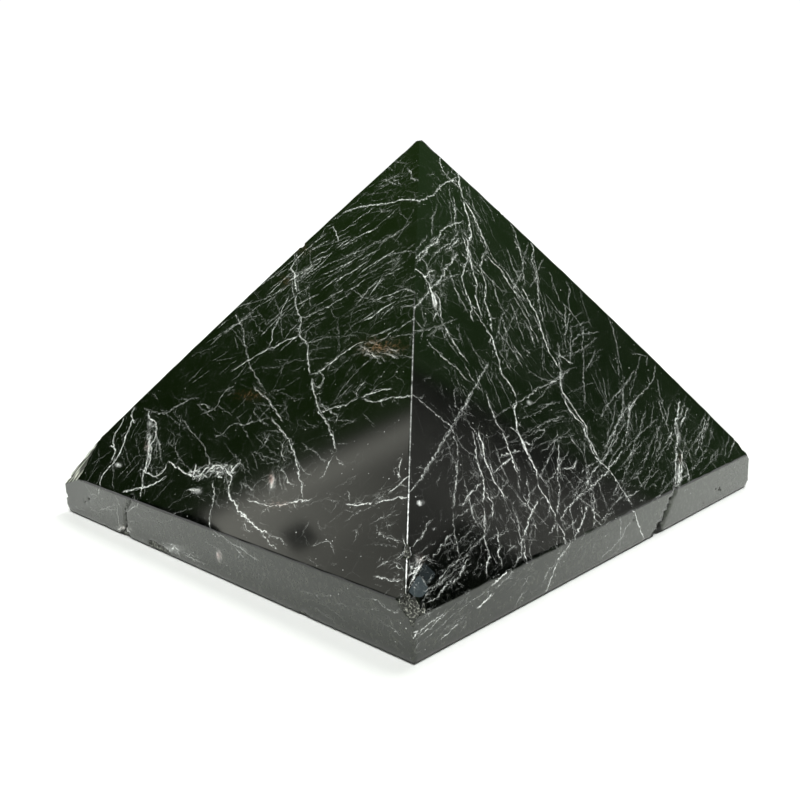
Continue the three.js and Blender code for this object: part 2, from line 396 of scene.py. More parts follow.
UNDER_IN = 0.28  # how far in it is worn at the bottom
UNDER_SAWN = 0.05  # strip at the top of that wear which keeps the saw's finish


def unevenness(p, seed):
    """Half the sum of three sines of the point's coordinates, between about -1 and 1."""
    x, y, z = p[..., 0], p[..., 1], p[..., 2]
    a = np.sin(3.1 * x + 1.7 * y + 2.3 * seed)
    b = np.sin(4.3 * y - 2.9 * z + 1.1 * seed)
    c = np.sin(3.7 * z + 2.1 * x + 3.7 * seed)
    return (a + b + c) / 2


def grit(p):
    """The sum of finer layers of the same sines, for the steps of a broken surface."""
    return sum(share * unevenness(p * finer, seed) for share, finer, seed in GRIT)


def flat_break(p, spec, seed):
    """How deep each point lies in the part broken off flat, and the way it is pressed in. Depth
    is the height over the break's uneven plane, inside its square."""
    at, facing, size, bumps, _ = spec
    out = unit(np.array(facing, float))
    nx, ny, nz = out
    first = np.array([1 - nx * nx / (1 + nz), -nx * ny / (1 + nz), -nx])
    second = np.array([-nx * ny / (1 + nz), 1 - ny * ny / (1 + nz), -ny])
    q = p - np.array(at)
    u, v = q @ first, q @ second
    plane = np.stack([u, v, np.zeros(u.size)], -1)
    depth = q @ out - bumps * (unevenness(plane, seed) - BREAK_GRIT * grit(p))
    room = size / 2 - np.maximum(abs(u), abs(v))
    return np.where(room > 0, depth, -1.0), -out


def pit(p, spec, seed):
    """The same for a pit: the way on, towards the stone's heart, until the point has left the
    uneven ellipsoid whose radius is 1 + PIT_ROUGHNESS times unevenness, found in three rounds."""
    at, radii, rough = spec
    inward = unit(HEART - np.array(at))
    q = (p - np.array(at)) / np.array(radii)
    d = inward / np.array(radii)
    reach = np.ones(len(p))
    for _ in range(3):
        half = q @ d / (d @ d)
        root = half ** 2 - ((q ** 2).sum(-1) - reach ** 2) / (d @ d)
        away = -half + np.sqrt(np.maximum(root, 0))
        end = q + away[:, None] * d
        reach = 1 + PIT_ROUGHNESS * unevenness(end, seed)
    inside = (reach - np.linalg.norm(q, axis=-1)) * min(radii)
    depth = np.where(inside > 0, away - rough * grit(p), inside)
    return depth, inward


def crack(p, wall, path):
    """The same for a crack: a V whose depth falls from the path's own to nothing at half its
    width, give or take the grit, measured in from the side it is on."""
    path = np.array(path, float)
    flat, knots = wall.flat(p), wall.flat(path[:, :3])
    behind = -wall.height(p)
    depth = np.full(len(p), -1.0)
    for a, b, (w0, d0), (w1, d1) in zip(knots[:-1], knots[1:], path[:-1, 3:], path[1:, 3:]):
        step = b - a
        t = np.clip((flat - a) @ step / (step @ step), 0, 1)
        width = w0 + (w1 - w0) * t
        gap = np.linalg.norm(flat - a - t[:, None] * step, axis=-1) + RAGGED * width * grit(p)
        groove = (d0 + (d1 - d0) * t) * (1 - 2 * gap / width)
        depth = np.maximum(depth, groove - behind)
    return np.where(behind < CRACK_REACH, depth, -1.0), -wall.outward


def blows():
    """Every break, pit and crack as a function that gives depth and direction for points, with
    how pale its fresh surface is."""
    for seed, spec in enumerate(FLAT_BREAKS, 1):
        yield lambda p, s=spec, k=seed: flat_break(p, s, k), spec[-1]
    for seed, spec in enumerate(PITS, 1):
        yield lambda p, s=spec, k=seed: pit(p, s, k), PIT_PALENESS
    for wall, path in CRACKS:
        yield lambda p, w=wall, r=path: crack(p, w, r), 0.0


def coordinates(mesh):
    """A mesh's points as an array, in millimetres."""
    co = np.empty(len(mesh.vertices) * 3)
    mesh.vertices.foreach_get("co", co)
    return co.reshape(-1, 3)


def edge_ends(mesh):
    """The numbers of the two points that each edge of a mesh joins."""
    ends = np.empty(len(mesh.edges) * 2, int)
    mesh.edges.foreach_get("vertices", ends)
    return ends.reshape(-1, 2)


for nearness in REFINE_NEAR:
    p = coordinates(stone_mesh)
    depth = np.max([blow(p)[0] for blow, _ in blows()], axis=0)
    near = (depth > -nearness)[edge_ends(stone_mesh)].all(axis=1)
    knife = bmesh.new()
    knife.from_mesh(stone_mesh)
    knife.edges.ensure_lookup_table()
    chosen = [knife.edges[i] for i in np.flatnonzero(near)]
    bmesh.ops.subdivide_edges(knife, edges=chosen, cuts=1, use_grid_fill=True)
    knife.to_mesh(stone_mesh)
    knife.free()

sound = coordinates(stone_mesh)  # the points before anything broke away
on_surface = np.array([abs(surface.height(sound)) < TOUCH for surface in surfaces])
on_surface[:4] &= sound[:, 2] > FACES_ABOVE
on_surface[4:] &= sound[:, 2] < SIDES_BELOW
on_face, on_side = on_surface[:4].any(axis=0), on_surface[4:].any(axis=0)
edges = on_surface.sum(axis=0) > 1
pull = np.array([surface.outward for surface in surfaces]).T @ on_surface
skin = sound.copy()
front = on_surface[0] & on_surface[1]
wear = ROUNDING * (1 + WEAR_SPREAD * unevenness(sound[edges] * WEAR_WAVES, 3))
wear *= np.where(front[edges], np.interp(sound[edges, 2], CRISP, (1, 0)), 1)
skin[edges] -= unit(pull.T[edges]) * wear[:, None]
up_south = np.clip(1 - south.flat(sound)[:, 1] / OVER, 0, 1)
over = OVER * OVER_TILT / 2 * up_south ** 2 * np.interp(sound[:, 0], *OVER_AT) * on_surface[0]
skin -= over[:, None] * south.outward
up_side = np.clip(1 - sound[:, 2] / FOOT_WEAR_AND_SHADE, 0, 1)
skin[:, :2] *= 1 - UNDER_IN * up_side[:, None] ** 2 / [HALF_X, HALF_Y]
# the worn foot counts as broken, so it takes the dark break colour: painted shade along the table
broken = np.where(on_side & (up_side > 0), FOOT_WEAR_AND_SHADE * up_side - UNDER_SAWN, -1.0)
paleness = np.zeros(len(skin))
for blow, pale in blows():
    depth, direction = blow(skin)
    skin += np.maximum(depth, 0)[:, None] * direction
    paleness[depth > broken] = pale
    broken = np.maximum(broken, depth)


# The veins: hairline fissures healed with pale quartz and feldspar when the stone was still in
# the rock. They were ground and polished with it, so they lie flush. Each is kept on the mesh as
# the signed distance from its line and its strength there, in groups whose veins keep apart.
GROUPS = 12  # three of them to a vector attribute
REACH = 0.65  # distance from a vein up to which it is kept
CLEAR = 0.78  # room that one vein leaves to the next in its group
FADE = 0.12  # over which its strength falls to nothing there
STEP = 0.6  # length of the short steps that a vein wanders in
LEAST_POINTS = 4  # that even the shortest vein has
PIECE_STEPS = 5  # steps that are measured together and go to one group
SWAY = 0.08  # how far a step strays sideways
SMOOTHING = (0.15, 0.7, 0.15)  # of that straying, over three steps
BARB_EVERY = 3.0  # length of vein that has one side branch, on average
BARB = 1.1  # length of a side branch, on average
BARB_LENGTHS = (0.3, 1.7)  # the shortest and the longest, as shares of that
BARB_LEAN = (0.25, 1.3)  # least and greatest angle at which one leaves its vein, in radians
BARB_TURN = np.array([0, 0.3])  # how far each of its halves turns on from there
BARB_BACK = 0.3  # share of its first half by which it starts on the vein's other side
BARB_STRENGTHS = (0.4, 0.9)  # as shares of its vein's
HIDDEN_BARB_STRENGTHS = (0.3, 0.9)
TAPER = 0.8  # length over which a vein's ends die away
TAPER_POWER = 0.7
BEND = 0.07  # how far a fine vein turns from one of its stretches to the next, in radians
FINE_LENGTHS = (0.4, 1.6)  # the least and the most, as shares of a family's
FINE_STRENGTHS = (0.35, 1.55)
LONG = 10.0  # a hidden family's length above which its veins branch
FLIP = np.array([1, -1])  # a picture's rows run down, a direction's angle runs up

# The veins that can be told apart: strength, and the route in px of the photograph
SOUTH_VEINS = [
    (1.4, [(124, 417), (120, 427), (116, 432), (114, 437), (113, 445), (116, 451), (111, 462)]),
    (1.6, [
        (136, 406), (134, 409), (131, 414), (132, 421), (128, 431), (124, 440), (121, 451),
        (115, 462), (109, 467), (104, 474), (100, 480), (100, 487),
    ]),
    (0.5, [(139, 418), (135, 420), (132, 423)]),
    (1.3, [(148, 411), (151, 420), (156, 423), (157, 431), (155, 439), (151, 444), (149, 450)]),
    (1.5, [(149, 439), (148, 451), (148, 456), (147, 462), (144, 472), (142, 481)]),
    (1.2, [(142, 481), (142, 488), (140, 499)]),
    (0.6, [(144, 406), (149, 411), (165, 414), (175, 408), (193, 397)]),
    (1.1, [(144, 469), (147, 473), (154, 477), (161, 474), (166, 468), (168, 461)]),
    (0.6, [(149, 463), (151, 468), (152, 474)]),
    (1.5, [
        (168, 461), (172, 463), (175, 467), (180, 468), (182, 472), (190, 475), (198, 476),
        (202, 473), (207, 468), (210, 467),
    ]),
    (1.5, [
        (210, 467), (217, 464), (224, 469), (230, 474), (231, 480), (228, 486), (228, 495),
        (234, 502), (239, 511), (248, 519),
    ]),
    (1.2, [(122, 492), (131, 490), (142, 488), (152, 485), (161, 480), (167, 476)]),
    (0.4, [(174, 477), (165, 488), (154, 501)]),
    (0.5, [(112, 463), (114, 472), (113, 482), (113, 491)]),
    (0.5, [(144, 455), (136, 456), (129, 466), (117, 478)]),
    (0.6, [(182, 418), (186, 425), (193, 434), (202, 442), (206, 451), (210, 460), (212, 468)]),
    (0.8, [(214, 480), (213, 486), (215, 495), (212, 506), (209, 515), (210, 522), (211, 529)]),
    (0.5, [(207, 515), (212, 514), (210, 522)]),
    (0.5, [(171, 514), (182, 511), (194, 508)]),
    (0.4, [(166, 508), (181, 499), (195, 491), (202, 487)]),
    (0.4, [(195, 492), (200, 499), (207, 501)]),
    (0.5, [(180, 431), (175, 449), (182, 462), (190, 469)]),
    (0.4, [(182, 412), (180, 423), (180, 431)]),
    (0.6, [(200, 415), (209, 412), (217, 407), (221, 397), (227, 390), (235, 385)]),
    (0.7, [(198, 404), (204, 403), (209, 407), (209, 411)]),
    (0.5, [(152, 393), (155, 395), (158, 401)]),
    (0.5, [(148, 412), (150, 421), (149, 428), (151, 436)]),
    (0.6, [(214, 434), (219, 436), (224, 434), (227, 427), (235, 423), (245, 425), (256, 420)]),
    (0.4, [(224, 469), (234, 469), (239, 462), (249, 472)]),
    (0.5, [(231, 492), (241, 495), (242, 487), (239, 482)]),
    (0.7, [(244, 519), (244, 525), (247, 532), (253, 530)]),
    (0.5, [(131, 492), (136, 499), (135, 502)]),
    (0.5, [(152, 469), (156, 467), (165, 468)]),
    (0.5, [(158, 441), (155, 451), (151, 456)]),
    (0.4, [(167, 439), (172, 446), (175, 437), (172, 431), (165, 428)]),
    (0.9, [
        (311, 380), (315, 394), (316, 400), (318, 406), (320, 412), (327, 423), (329, 430),
        (333, 435), (335, 444), (337, 451),
    ]),
    (0.6, [(334, 454), (341, 462), (345, 468)]),
    (0.8, [(316, 390), (322, 386), (324, 380)]),
    (0.7, [(317, 404), (322, 407), (329, 411), (338, 417), (334, 425)]),
    (0.8, [(319, 412), (327, 410), (334, 408), (345, 406), (355, 399), (361, 397)]),
    (0.9, [(361, 397), (368, 394), (380, 390), (393, 388)]),
    (0.8, [(362, 398), (374, 402), (380, 400), (390, 398), (399, 397), (414, 396), (417, 396)]),
    (0.7, [(366, 380), (359, 388), (355, 393), (360, 397)]),
    (0.5, [(355, 381), (348, 390), (338, 397), (333, 403)]),
    (0.8, [(253, 386), (263, 395), (271, 404), (277, 413), (284, 422)]),
    (0.9, [
        (271, 417), (278, 426), (285, 434), (291, 445), (295, 455), (297, 467), (301, 482),
        (302, 492), (303, 500),
    ]),
    (0.7, [(285, 435), (284, 442), (282, 450), (283, 458), (287, 462)]),
    (0.6, [(296, 456), (299, 464), (306, 473), (313, 475)]),
    (0.8, [(281, 467), (285, 474), (288, 481), (296, 486)]),
    (0.5, [(301, 442), (311, 450), (322, 458), (327, 462)]),
    (0.7, [(334, 454), (329, 463), (327, 468), (327, 471), (323, 476), (318, 480)]),
    (0.5, [(328, 449), (335, 454), (337, 451)]),
    (0.5, [(335, 444), (342, 443), (349, 444)]),
    (0.9, [
        (245, 499), (257, 502), (267, 506), (281, 505), (291, 503), (295, 501), (304, 500),
        (313, 498),
    ]),
    (0.5, [(322, 500), (332, 500), (342, 503)]),
    (1.1, [(345, 504), (355, 506), (362, 504), (374, 502)]),
    (0.9, [(374, 502), (393, 499), (410, 497), (415, 496)]),
    (0.8, [(346, 490), (350, 494), (350, 502)]),
    (0.9, [(411, 478), (407, 478), (399, 485), (390, 492), (387, 496)]),
    (0.5, [(387, 496), (378, 499), (373, 502)]),
    (0.8, [(403, 456), (401, 463), (398, 469), (399, 476), (402, 481)]),
    (0.5, [(310, 519), (306, 527), (301, 537)]),
    (0.4, [(304, 532), (306, 541), (311, 547)]),
    (1.2, [(240, 513), (248, 519), (253, 525), (260, 530), (268, 534)]),
    (0.8, [(260, 532), (266, 538), (269, 543), (278, 550)]),
    (0.7, [(268, 534), (278, 539), (288, 545)]),
    (0.6, [(310, 547), (319, 543), (327, 539), (332, 544), (336, 554)]),
    (0.4, [(316, 518), (320, 527), (322, 533)]),
    (0.7, [(380, 528), (378, 532), (383, 537), (393, 539), (404, 542)]),
    (0.5, [(380, 528), (388, 526), (397, 523)]),
    (0.7, [(404, 533), (405, 543), (406, 551), (402, 555), (396, 559), (392, 560)]),
    (0.75, [(392, 560), (384, 564), (376, 569)]),
    (0.85, [(392, 560), (396, 565), (401, 570), (406, 572)]),
    (0.85, [(372, 577), (380, 578), (391, 580), (402, 582), (405, 577)]),
    (0.6, [(397, 598), (404, 593)]),
    (0.4, [(394, 583), (402, 588)]),
    (0.5, [(383, 597), (391, 588)]),
    (0.5, [(364, 508), (355, 515), (343, 523)]),
    (0.5, [(398, 510), (388, 515), (378, 520), (368, 525)]),
    (0.4, [(375, 513), (370, 519)]),
    (0.6, [(351, 532), (357, 530), (356, 539), (352, 544)]),
    (0.5, [(332, 561), (335, 564), (338, 562)]),
    (0.4, [(306, 557), (311, 561), (316, 566), (322, 564)]),
    (0.4, [(245, 456), (249, 469), (253, 477)]),
    (0.5, [(257, 403), (254, 412), (258, 418), (267, 425), (271, 423)]),
    (0.5, [(243, 426), (250, 422), (259, 420), (271, 417)]),
    (0.5, [(267, 431), (270, 430), (278, 431), (285, 434)]),
    (0.7, [(269, 432), (267, 440), (260, 449)]),
    (0.4, [(268, 431), (260, 435), (254, 440)]),
    (0.4, [(283, 399), (287, 409), (283, 413), (277, 418)]),
    (0.4, [(274, 394), (285, 394), (294, 399), (300, 399), (306, 398)]),
    (0.4, [(258, 455), (267, 463), (274, 463), (282, 459)]),
    (0.4, [(259, 490), (269, 483), (283, 474)]),
    (0.4, [(248, 495), (254, 487), (257, 481), (266, 480), (271, 495)]),
    (0.4, [(282, 463), (278, 469), (276, 474)]),
    (1, [(304, 252), (296, 260), (290, 268), (295, 275), (295, 283), (297, 293)]),
    (0.9, [
        (297, 293), (295, 302), (298, 313), (302, 319), (300, 329), (300, 336), (307, 344),
        (308, 361), (310, 376),
    ]),
    (0.8, [(289, 268), (281, 273), (275, 277)]),
    (1, [
        (423, 200), (418, 200), (401, 200), (388, 203), (380, 205), (369, 205), (352, 209),
        (342, 213),
    ]),
    (0.8, [(328, 230), (332, 226), (336, 233), (339, 243)]),
    (0.6, [(326, 233), (319, 239), (327, 226), (334, 223)]),
    (0.6, [(325, 241), (319, 246), (308, 250)]),
    (0.6, [(290, 278), (300, 273), (310, 267)]),
    (0.6, [(298, 285), (310, 275), (323, 267), (336, 261), (346, 258), (355, 252), (365, 243)]),
    (0.5, [(310, 285), (321, 279), (332, 275), (342, 268), (355, 261)]),
    (0.6, [(348, 285), (357, 279), (365, 275), (376, 270), (384, 265), (395, 260), (403, 254)]),
    (0.5, [(304, 315), (312, 308), (323, 302), (334, 296), (344, 289)]),
    (0.7, [(304, 318), (317, 312), (329, 306), (340, 300), (352, 292)]),
    (0.6, [(235, 308), (247, 304), (256, 302), (266, 298), (275, 294), (285, 287), (294, 283)]),
    (0.6, [(239, 321), (247, 315), (256, 308), (266, 302), (274, 297)]),
    (0.5, [(205, 344), (214, 338), (224, 332), (237, 323)]),
    (0.7, [
        (235, 313), (239, 321), (243, 329), (244, 338), (245, 348), (248, 359), (249, 365),
        (256, 376), (263, 388),
    ]),
    (0.5, [(274, 298), (279, 308), (281, 321), (282, 338)]),
    (0.8, [(289, 294), (283, 308), (279, 319), (274, 329), (272, 340), (266, 350)]),
    (0.7, [(302, 319), (294, 327), (286, 336), (283, 342)]),
    (0.9, [
        (230, 372), (241, 365), (247, 361), (258, 355), (266, 350), (275, 347), (283, 342),
        (300, 335),
    ]),
    (0.5, [(300, 335), (312, 327), (323, 321)]),
    (0.5, [(247, 363), (239, 376), (230, 382)]),
    (0.5, [(235, 386), (226, 390), (221, 397)]),
    (0.9, [(310, 374), (319, 372), (327, 366), (338, 357), (348, 350), (357, 344), (367, 341)]),
    (0.7, [(310, 378), (315, 386), (320, 388), (323, 382), (324, 376), (318, 369)]),
    (0.5, [(380, 348), (372, 359), (361, 367), (346, 384), (334, 401)]),
    (0.7, [(420, 317), (416, 319), (407, 323), (401, 327), (392, 332), (385, 339), (372, 342)]),
    (0.6, [(419, 334), (415, 334), (403, 335), (395, 337), (386, 339)]),
    (0.5, [(419, 357), (414, 357), (401, 357), (395, 352), (384, 345)]),
    (0.5, [
        (352, 289), (365, 298), (374, 300), (382, 302), (390, 300), (401, 297), (416, 294),
        (420, 293),
    ]),
    (0.7, [(399, 290), (407, 290), (416, 292), (420, 293)]),
    (0.5, [(401, 288), (407, 280), (416, 274), (421, 271)]),
    (0.7, [(397, 308), (405, 307), (416, 304), (420, 303)]),
    (0.7, [(416, 279), (422, 275), (426, 279)]),
    (0.6, [(424, 241), (416, 252), (403, 252), (386, 256), (372, 266)]),
    (0.5, [(403, 256), (390, 268)]),
    (0.4, [(306, 344), (321, 336), (338, 337), (348, 335), (359, 336)]),
    (0.4, [(308, 350), (323, 348), (334, 347)]),
    (0.4, [(273, 360), (289, 361), (310, 360), (327, 357)]),
    (0.4, [(260, 367), (279, 367), (296, 360)]),
    (0.4, [(247, 345), (258, 344)]),
    (0.5, [(193, 397), (184, 403), (174, 407), (167, 416)]),
    (0.4, [(330, 306), (332, 313), (338, 319), (338, 329), (340, 346), (338, 355)]),
    (0.4, [(399, 205), (401, 214), (411, 224)]),
    (0.5, [(380, 205), (381, 212), (395, 209)]),
    (0.6, [(392, 178), (399, 182), (403, 186)]),
    (0.5, [(384, 180), (395, 177), (407, 175)]),
    (0.7, [(407, 167), (411, 172), (411, 178), (418, 180), (423, 182)]),
    (0.4, [(361, 195), (380, 193), (399, 188)]),
    (0.4, [(367, 201), (376, 190), (388, 182)]),
    (0.5, [(380, 239), (388, 235), (394, 234)]),
    (0.5, [(317, 302), (312, 308)]),
    (0.5, [(372, 252), (376, 253)]),
    (0.5, [(403, 258), (395, 266), (390, 270)]),
]
EAST_VEINS = [
    (0.9, [
        (413, 203), (424, 199), (429, 197), (434, 195), (436, 191), (438, 187), (443, 184),
        (448, 182), (454, 180), (458, 176),
    ]),
    (0.8, [(440, 155), (440, 163), (443, 171), (448, 177), (452, 181), (457, 185), (461, 191)]),
    (1.3, [(458, 172), (459, 176), (458, 181), (461, 191), (464, 200)]),
    (1.1, [
        (464, 200), (465, 209), (469, 219), (470, 228), (472, 235), (468, 241), (468, 248),
        (468, 259),
    ]),
    (1.1, [(464, 200), (470, 209), (473, 215), (477, 224), (482, 234), (485, 242), (487, 248)]),
    (1, [
        (468, 248), (470, 255), (471, 261), (472, 270), (475, 278), (477, 284), (475, 293),
        (478, 304), (482, 319),
    ]),
    (0.9, [
        (468, 259), (465, 265), (464, 271), (462, 276), (464, 285), (467, 294), (471, 304),
        (471, 316), (475, 322),
    ]),
    (0.7, [(472, 270), (467, 271), (464, 273)]),
    (0.8, [(472, 307), (476, 314), (481, 319), (485, 328), (491, 336)]),
    (0.9, [
        (485, 251), (482, 259), (481, 265), (482, 273), (485, 279), (486, 290), (485, 302),
        (488, 311), (491, 319), (493, 333),
    ]),
    (0.6, [(468, 185), (470, 192), (471, 200), (475, 210), (478, 216), (482, 224)]),
    (0.5, [(478, 194), (485, 202), (491, 211), (495, 224)]),
    (0.5, [(449, 183), (450, 197), (453, 206), (456, 214)]),
    (0.6, [(437, 206), (434, 215), (432, 227), (432, 237)]),
    (0.9, [
        (411, 260), (419, 255), (425, 251), (429, 246), (436, 242), (440, 236), (441, 231),
        (449, 226), (457, 223), (464, 221),
    ]),
    (0.6, [(412, 255), (418, 247), (422, 242), (425, 240), (428, 234)]),
    (0.7, [(432, 253), (441, 250), (446, 245), (452, 241), (457, 234), (458, 229)]),
    (0.5, [(444, 254), (452, 248), (459, 243), (467, 241)]),
    (0.8, [(420, 257), (425, 261), (427, 268), (429, 273)]),
    (1, [(411, 265), (417, 270), (421, 273), (425, 277), (429, 273), (430, 270), (436, 271)]),
    (0.9, [(425, 277), (428, 282), (431, 287)]),
    (0.6, [(436, 271), (434, 278), (430, 284), (432, 287)]),
    (0.8, [
        (410, 312), (419, 303), (424, 298), (427, 292), (432, 287), (438, 282), (443, 276),
        (446, 268), (453, 259), (458, 252),
    ]),
    (1.8, [(431, 291), (433, 300), (436, 308)]),
    (1.6, [(433, 292), (436, 300), (437, 308)]),
    (1.5, [(428, 281), (430, 288), (433, 296)]),
    (0.8, [(436, 307), (437, 314), (434, 318), (432, 322)]),
    (0.9, [(432, 289), (436, 294), (440, 299), (440, 304), (440, 311), (441, 317), (443, 322)]),
    (0.7, [(435, 285), (440, 289), (443, 292), (441, 296), (440, 297)]),
    (0.7, [(443, 322), (446, 328), (453, 336)]),
    (0.6, [(410, 312), (417, 321), (421, 326), (425, 331)]),
    (0.6, [(409, 332), (417, 331), (427, 330), (438, 327), (444, 324), (452, 320), (458, 318)]),
    (0.5, [(446, 279), (453, 276), (462, 274)]),
    (0.4, [(452, 278), (462, 289)]),
    (0.5, [(431, 339), (436, 331), (443, 324)]),
    (0.4, [(446, 293), (445, 299), (444, 304)]),
    (0.4, [(459, 322), (459, 339)]),
    (0.6, [(449, 169), (446, 177), (453, 182), (459, 178)]),
    (0.6, [(453, 167), (452, 173), (459, 177)]),
    (0.5, [(429, 176), (435, 172)]),
    (0.5, [(443, 254), (443, 260), (441, 268), (445, 280), (443, 290)]),
    (1, [
        (487, 330), (492, 337), (495, 348), (499, 360), (501, 373), (507, 380), (512, 387),
        (517, 399),
    ]),
    (1.1, [(517, 399), (514, 410), (516, 419), (517, 431), (522, 442), (526, 451), (531, 458)]),
    (0.6, [(498, 348), (506, 362), (512, 373)]),
    (0.9, [(485, 254), (492, 261), (501, 270), (508, 282), (512, 288), (519, 300)]),
    (1.1, [(522, 286), (529, 300), (538, 318), (544, 337), (549, 353), (554, 360), (560, 369)]),
    (1, [(560, 369), (561, 389), (564, 396), (568, 408), (577, 419), (584, 426), (588, 440)]),
    (1, [(561, 389), (570, 403), (579, 415), (586, 426), (589, 438), (595, 451), (600, 461)]),
    (0.7, [(510, 222), (515, 233), (517, 240), (520, 249), (522, 259), (523, 272), (524, 286)]),
    (0.8, [
        (530, 240), (534, 249), (532, 261), (536, 275), (538, 284), (539, 300), (541, 314),
        (544, 325),
    ]),
    (0.6, [(544, 259), (538, 270), (536, 279), (529, 288)]),
    (0.6, [(522, 271), (517, 282), (514, 291)]),
    (0.6, [(529, 242), (524, 256), (522, 266)]),
    (0.6, [(565, 279), (570, 288), (569, 300), (570, 314), (566, 334), (565, 344)]),
    (0.6, [(597, 337), (588, 346), (574, 353), (565, 357), (558, 355)]),
    (0.6, [(600, 332), (581, 334), (574, 339), (572, 346)]),
    (0.6, [(584, 325), (582, 344), (584, 360), (584, 373), (584, 387), (586, 406)]),
    (0.6, [(596, 350), (591, 362), (584, 373)]),
    (0.7, [(519, 403), (529, 396), (538, 389), (547, 385), (561, 378), (570, 369)]),
    (0.5, [(522, 408), (538, 399), (549, 387), (561, 373), (577, 366)]),
    (0.6, [(529, 431), (540, 426), (549, 420), (565, 416)]),
    (0.6, [(607, 314), (614, 332), (617, 346), (619, 360), (623, 373)]),
    (0.5, [(623, 373), (624, 406), (618, 419), (614, 431)]),
    (0.5, [(641, 355), (636, 373), (632, 389), (630, 399)]),
    (0.7, [(655, 364), (654, 376), (650, 385), (639, 396), (630, 408), (627, 428)]),
    (0.6, [(657, 378), (659, 392), (663, 406), (669, 422)]),
    (0.6, [(630, 353), (639, 354), (648, 357), (646, 366)]),
    (0.7, [(432, 286), (434, 304), (441, 321), (445, 327)]),
    (0.8, [(445, 325), (449, 334), (455, 344), (462, 355), (469, 364)]),
    (0.6, [(441, 323), (444, 337), (453, 348), (460, 357)]),
    (0.8, [(428, 341), (434, 349), (441, 355), (448, 362), (455, 366), (464, 376), (469, 380)]),
    (0.6, [(464, 362), (468, 371), (476, 385), (485, 394)]),
    (0.8, [(485, 389), (488, 401), (492, 412), (499, 426), (506, 435)]),
    (0.5, [(493, 371), (492, 382), (499, 399), (502, 408)]),
    (0.5, [(455, 385), (455, 406), (469, 415), (476, 417)]),
    (0.6, [(462, 415), (469, 424), (476, 433), (479, 444), (483, 461)]),
    (0.7, [
        (407, 391), (414, 396), (423, 403), (437, 415), (452, 427), (458, 446), (457, 475),
        (453, 510),
    ]),
    (1.1, [(524, 349), (528, 352), (531, 354)]),
    (0.7, [(515, 352), (518, 350)]),
    (0.5, [(510, 304), (501, 318), (499, 332), (494, 341)]),
    (0.5, [(519, 307), (510, 325), (503, 339), (502, 348)]),
    (0.5, [(434, 277), (446, 277), (457, 275)]),
    (0.5, [(457, 325), (460, 337), (464, 348)]),
    (0.4, [(423, 382), (425, 378), (432, 376)]),
    (0.5, [(542, 337), (542, 360), (544, 373)]),
    (0.4, [(524, 360), (531, 373), (547, 380), (558, 382)]),
    (0.7, [(489, 362), (470, 396), (452, 426), (432, 460), (412, 492), (405, 503)]),
    (0.5, [(474, 392), (455, 424), (436, 455), (420, 482)]),
    (0.5, [(446, 437), (450, 452), (456, 466), (457, 480), (454, 497), (453, 509)]),
    (0.6, [(453, 509), (453, 522), (454, 531), (458, 545), (460, 560)]),
    (0.5, [(454, 430), (460, 443), (465, 451), (474, 455), (478, 461), (479, 467)]),
    (0.9, [(472, 430), (475, 443), (476, 455), (480, 469), (483, 477), (484, 491), (484, 505)]),
    (0.8, [(484, 505), (485, 521), (485, 537), (488, 550), (491, 557), (486, 566), (486, 579)]),
    (1.2, [(478, 430), (482, 445), (486, 463), (492, 475), (495, 483), (500, 490), (507, 499)]),
    (0.9, [(484, 490), (488, 494), (488, 498), (493, 504), (492, 510), (491, 520)]),
    (0.6, [(504, 494), (508, 508), (512, 517), (519, 533)]),
    (1, [(502, 430), (505, 437), (507, 445), (511, 453), (513, 464), (518, 476)]),
    (0.7, [(518, 476), (519, 484), (520, 493)]),
    (1.3, [(518, 431), (522, 440), (527, 452), (530, 458), (536, 470), (538, 480)]),
    (1, [(538, 480), (540, 490), (550, 505), (554, 512), (556, 520)]),
    (0.8, [(556, 520), (561, 529), (564, 533), (564, 540), (566, 548)]),
    (0.6, [(557, 430), (554, 447), (548, 460), (539, 479)]),
    (0.6, [(547, 430), (541, 436), (533, 439), (533, 447), (527, 452)]),
    (0.8, [(559, 442), (558, 462), (557, 478), (560, 487), (558, 501), (557, 516)]),
    (0.6, [(561, 470), (564, 476), (572, 485), (576, 491)]),
    (0.9, [(561, 470), (565, 469), (572, 468), (578, 459)]),
    (0.6, [(570, 435), (574, 442), (580, 450)]),
    (0.5, [(550, 508), (547, 518), (542, 522), (537, 525)]),
    (0.8, [(556, 521), (553, 528), (548, 536)]),
    (0.8, [(527, 476), (527, 483), (529, 492), (530, 499), (527, 504), (524, 505), (519, 502)]),
    (0.6, [(537, 483), (532, 492), (529, 494)]),
    (1, [(538, 499), (533, 510), (529, 521), (525, 531), (524, 539)]),
    (0.9, [(524, 539), (524, 547), (525, 555), (527, 568)]),
    (0.7, [(515, 510), (519, 522), (519, 533), (522, 540), (522, 554), (518, 561), (512, 567)]),
    (0.6, [(524, 540), (530, 540), (538, 541)]),
    (0.8, [(511, 458), (501, 466), (493, 474)]),
    (0.8, [(522, 451), (516, 451), (510, 454), (503, 456), (498, 459)]),
    (0.8, [(483, 482), (469, 495), (463, 504), (457, 507)]),
    (0.5, [(483, 502), (474, 506), (462, 513), (453, 521)]),
    (0.47, [(474, 518), (480, 522), (484, 526)]),
    (0.5, [(480, 522), (472, 528), (468, 533)]),
    (0.66, [(454, 531), (448, 539), (442, 546), (437, 552), (432, 560)]),
    (0.55, [(453, 539), (446, 545), (441, 547)]),
    (0.9, [(428, 555), (422, 561), (417, 567), (412, 574), (407, 579)]),
    (0.62, [(429, 554), (423, 559), (415, 566), (408, 572)]),
    (0.7, [(425, 557), (429, 561), (433, 564)]),
    (0.58, [(471, 554), (461, 561), (449, 567), (446, 572), (439, 582), (429, 593), (421, 602)]),
    (0.7, [
        (471, 557), (467, 563), (462, 571), (457, 578), (450, 582), (441, 593), (434, 600),
        (425, 603),
    ]),
    (0.5, [(484, 537), (474, 546), (469, 554)]),
    (0.47, [(471, 540), (471, 549), (470, 555)]),
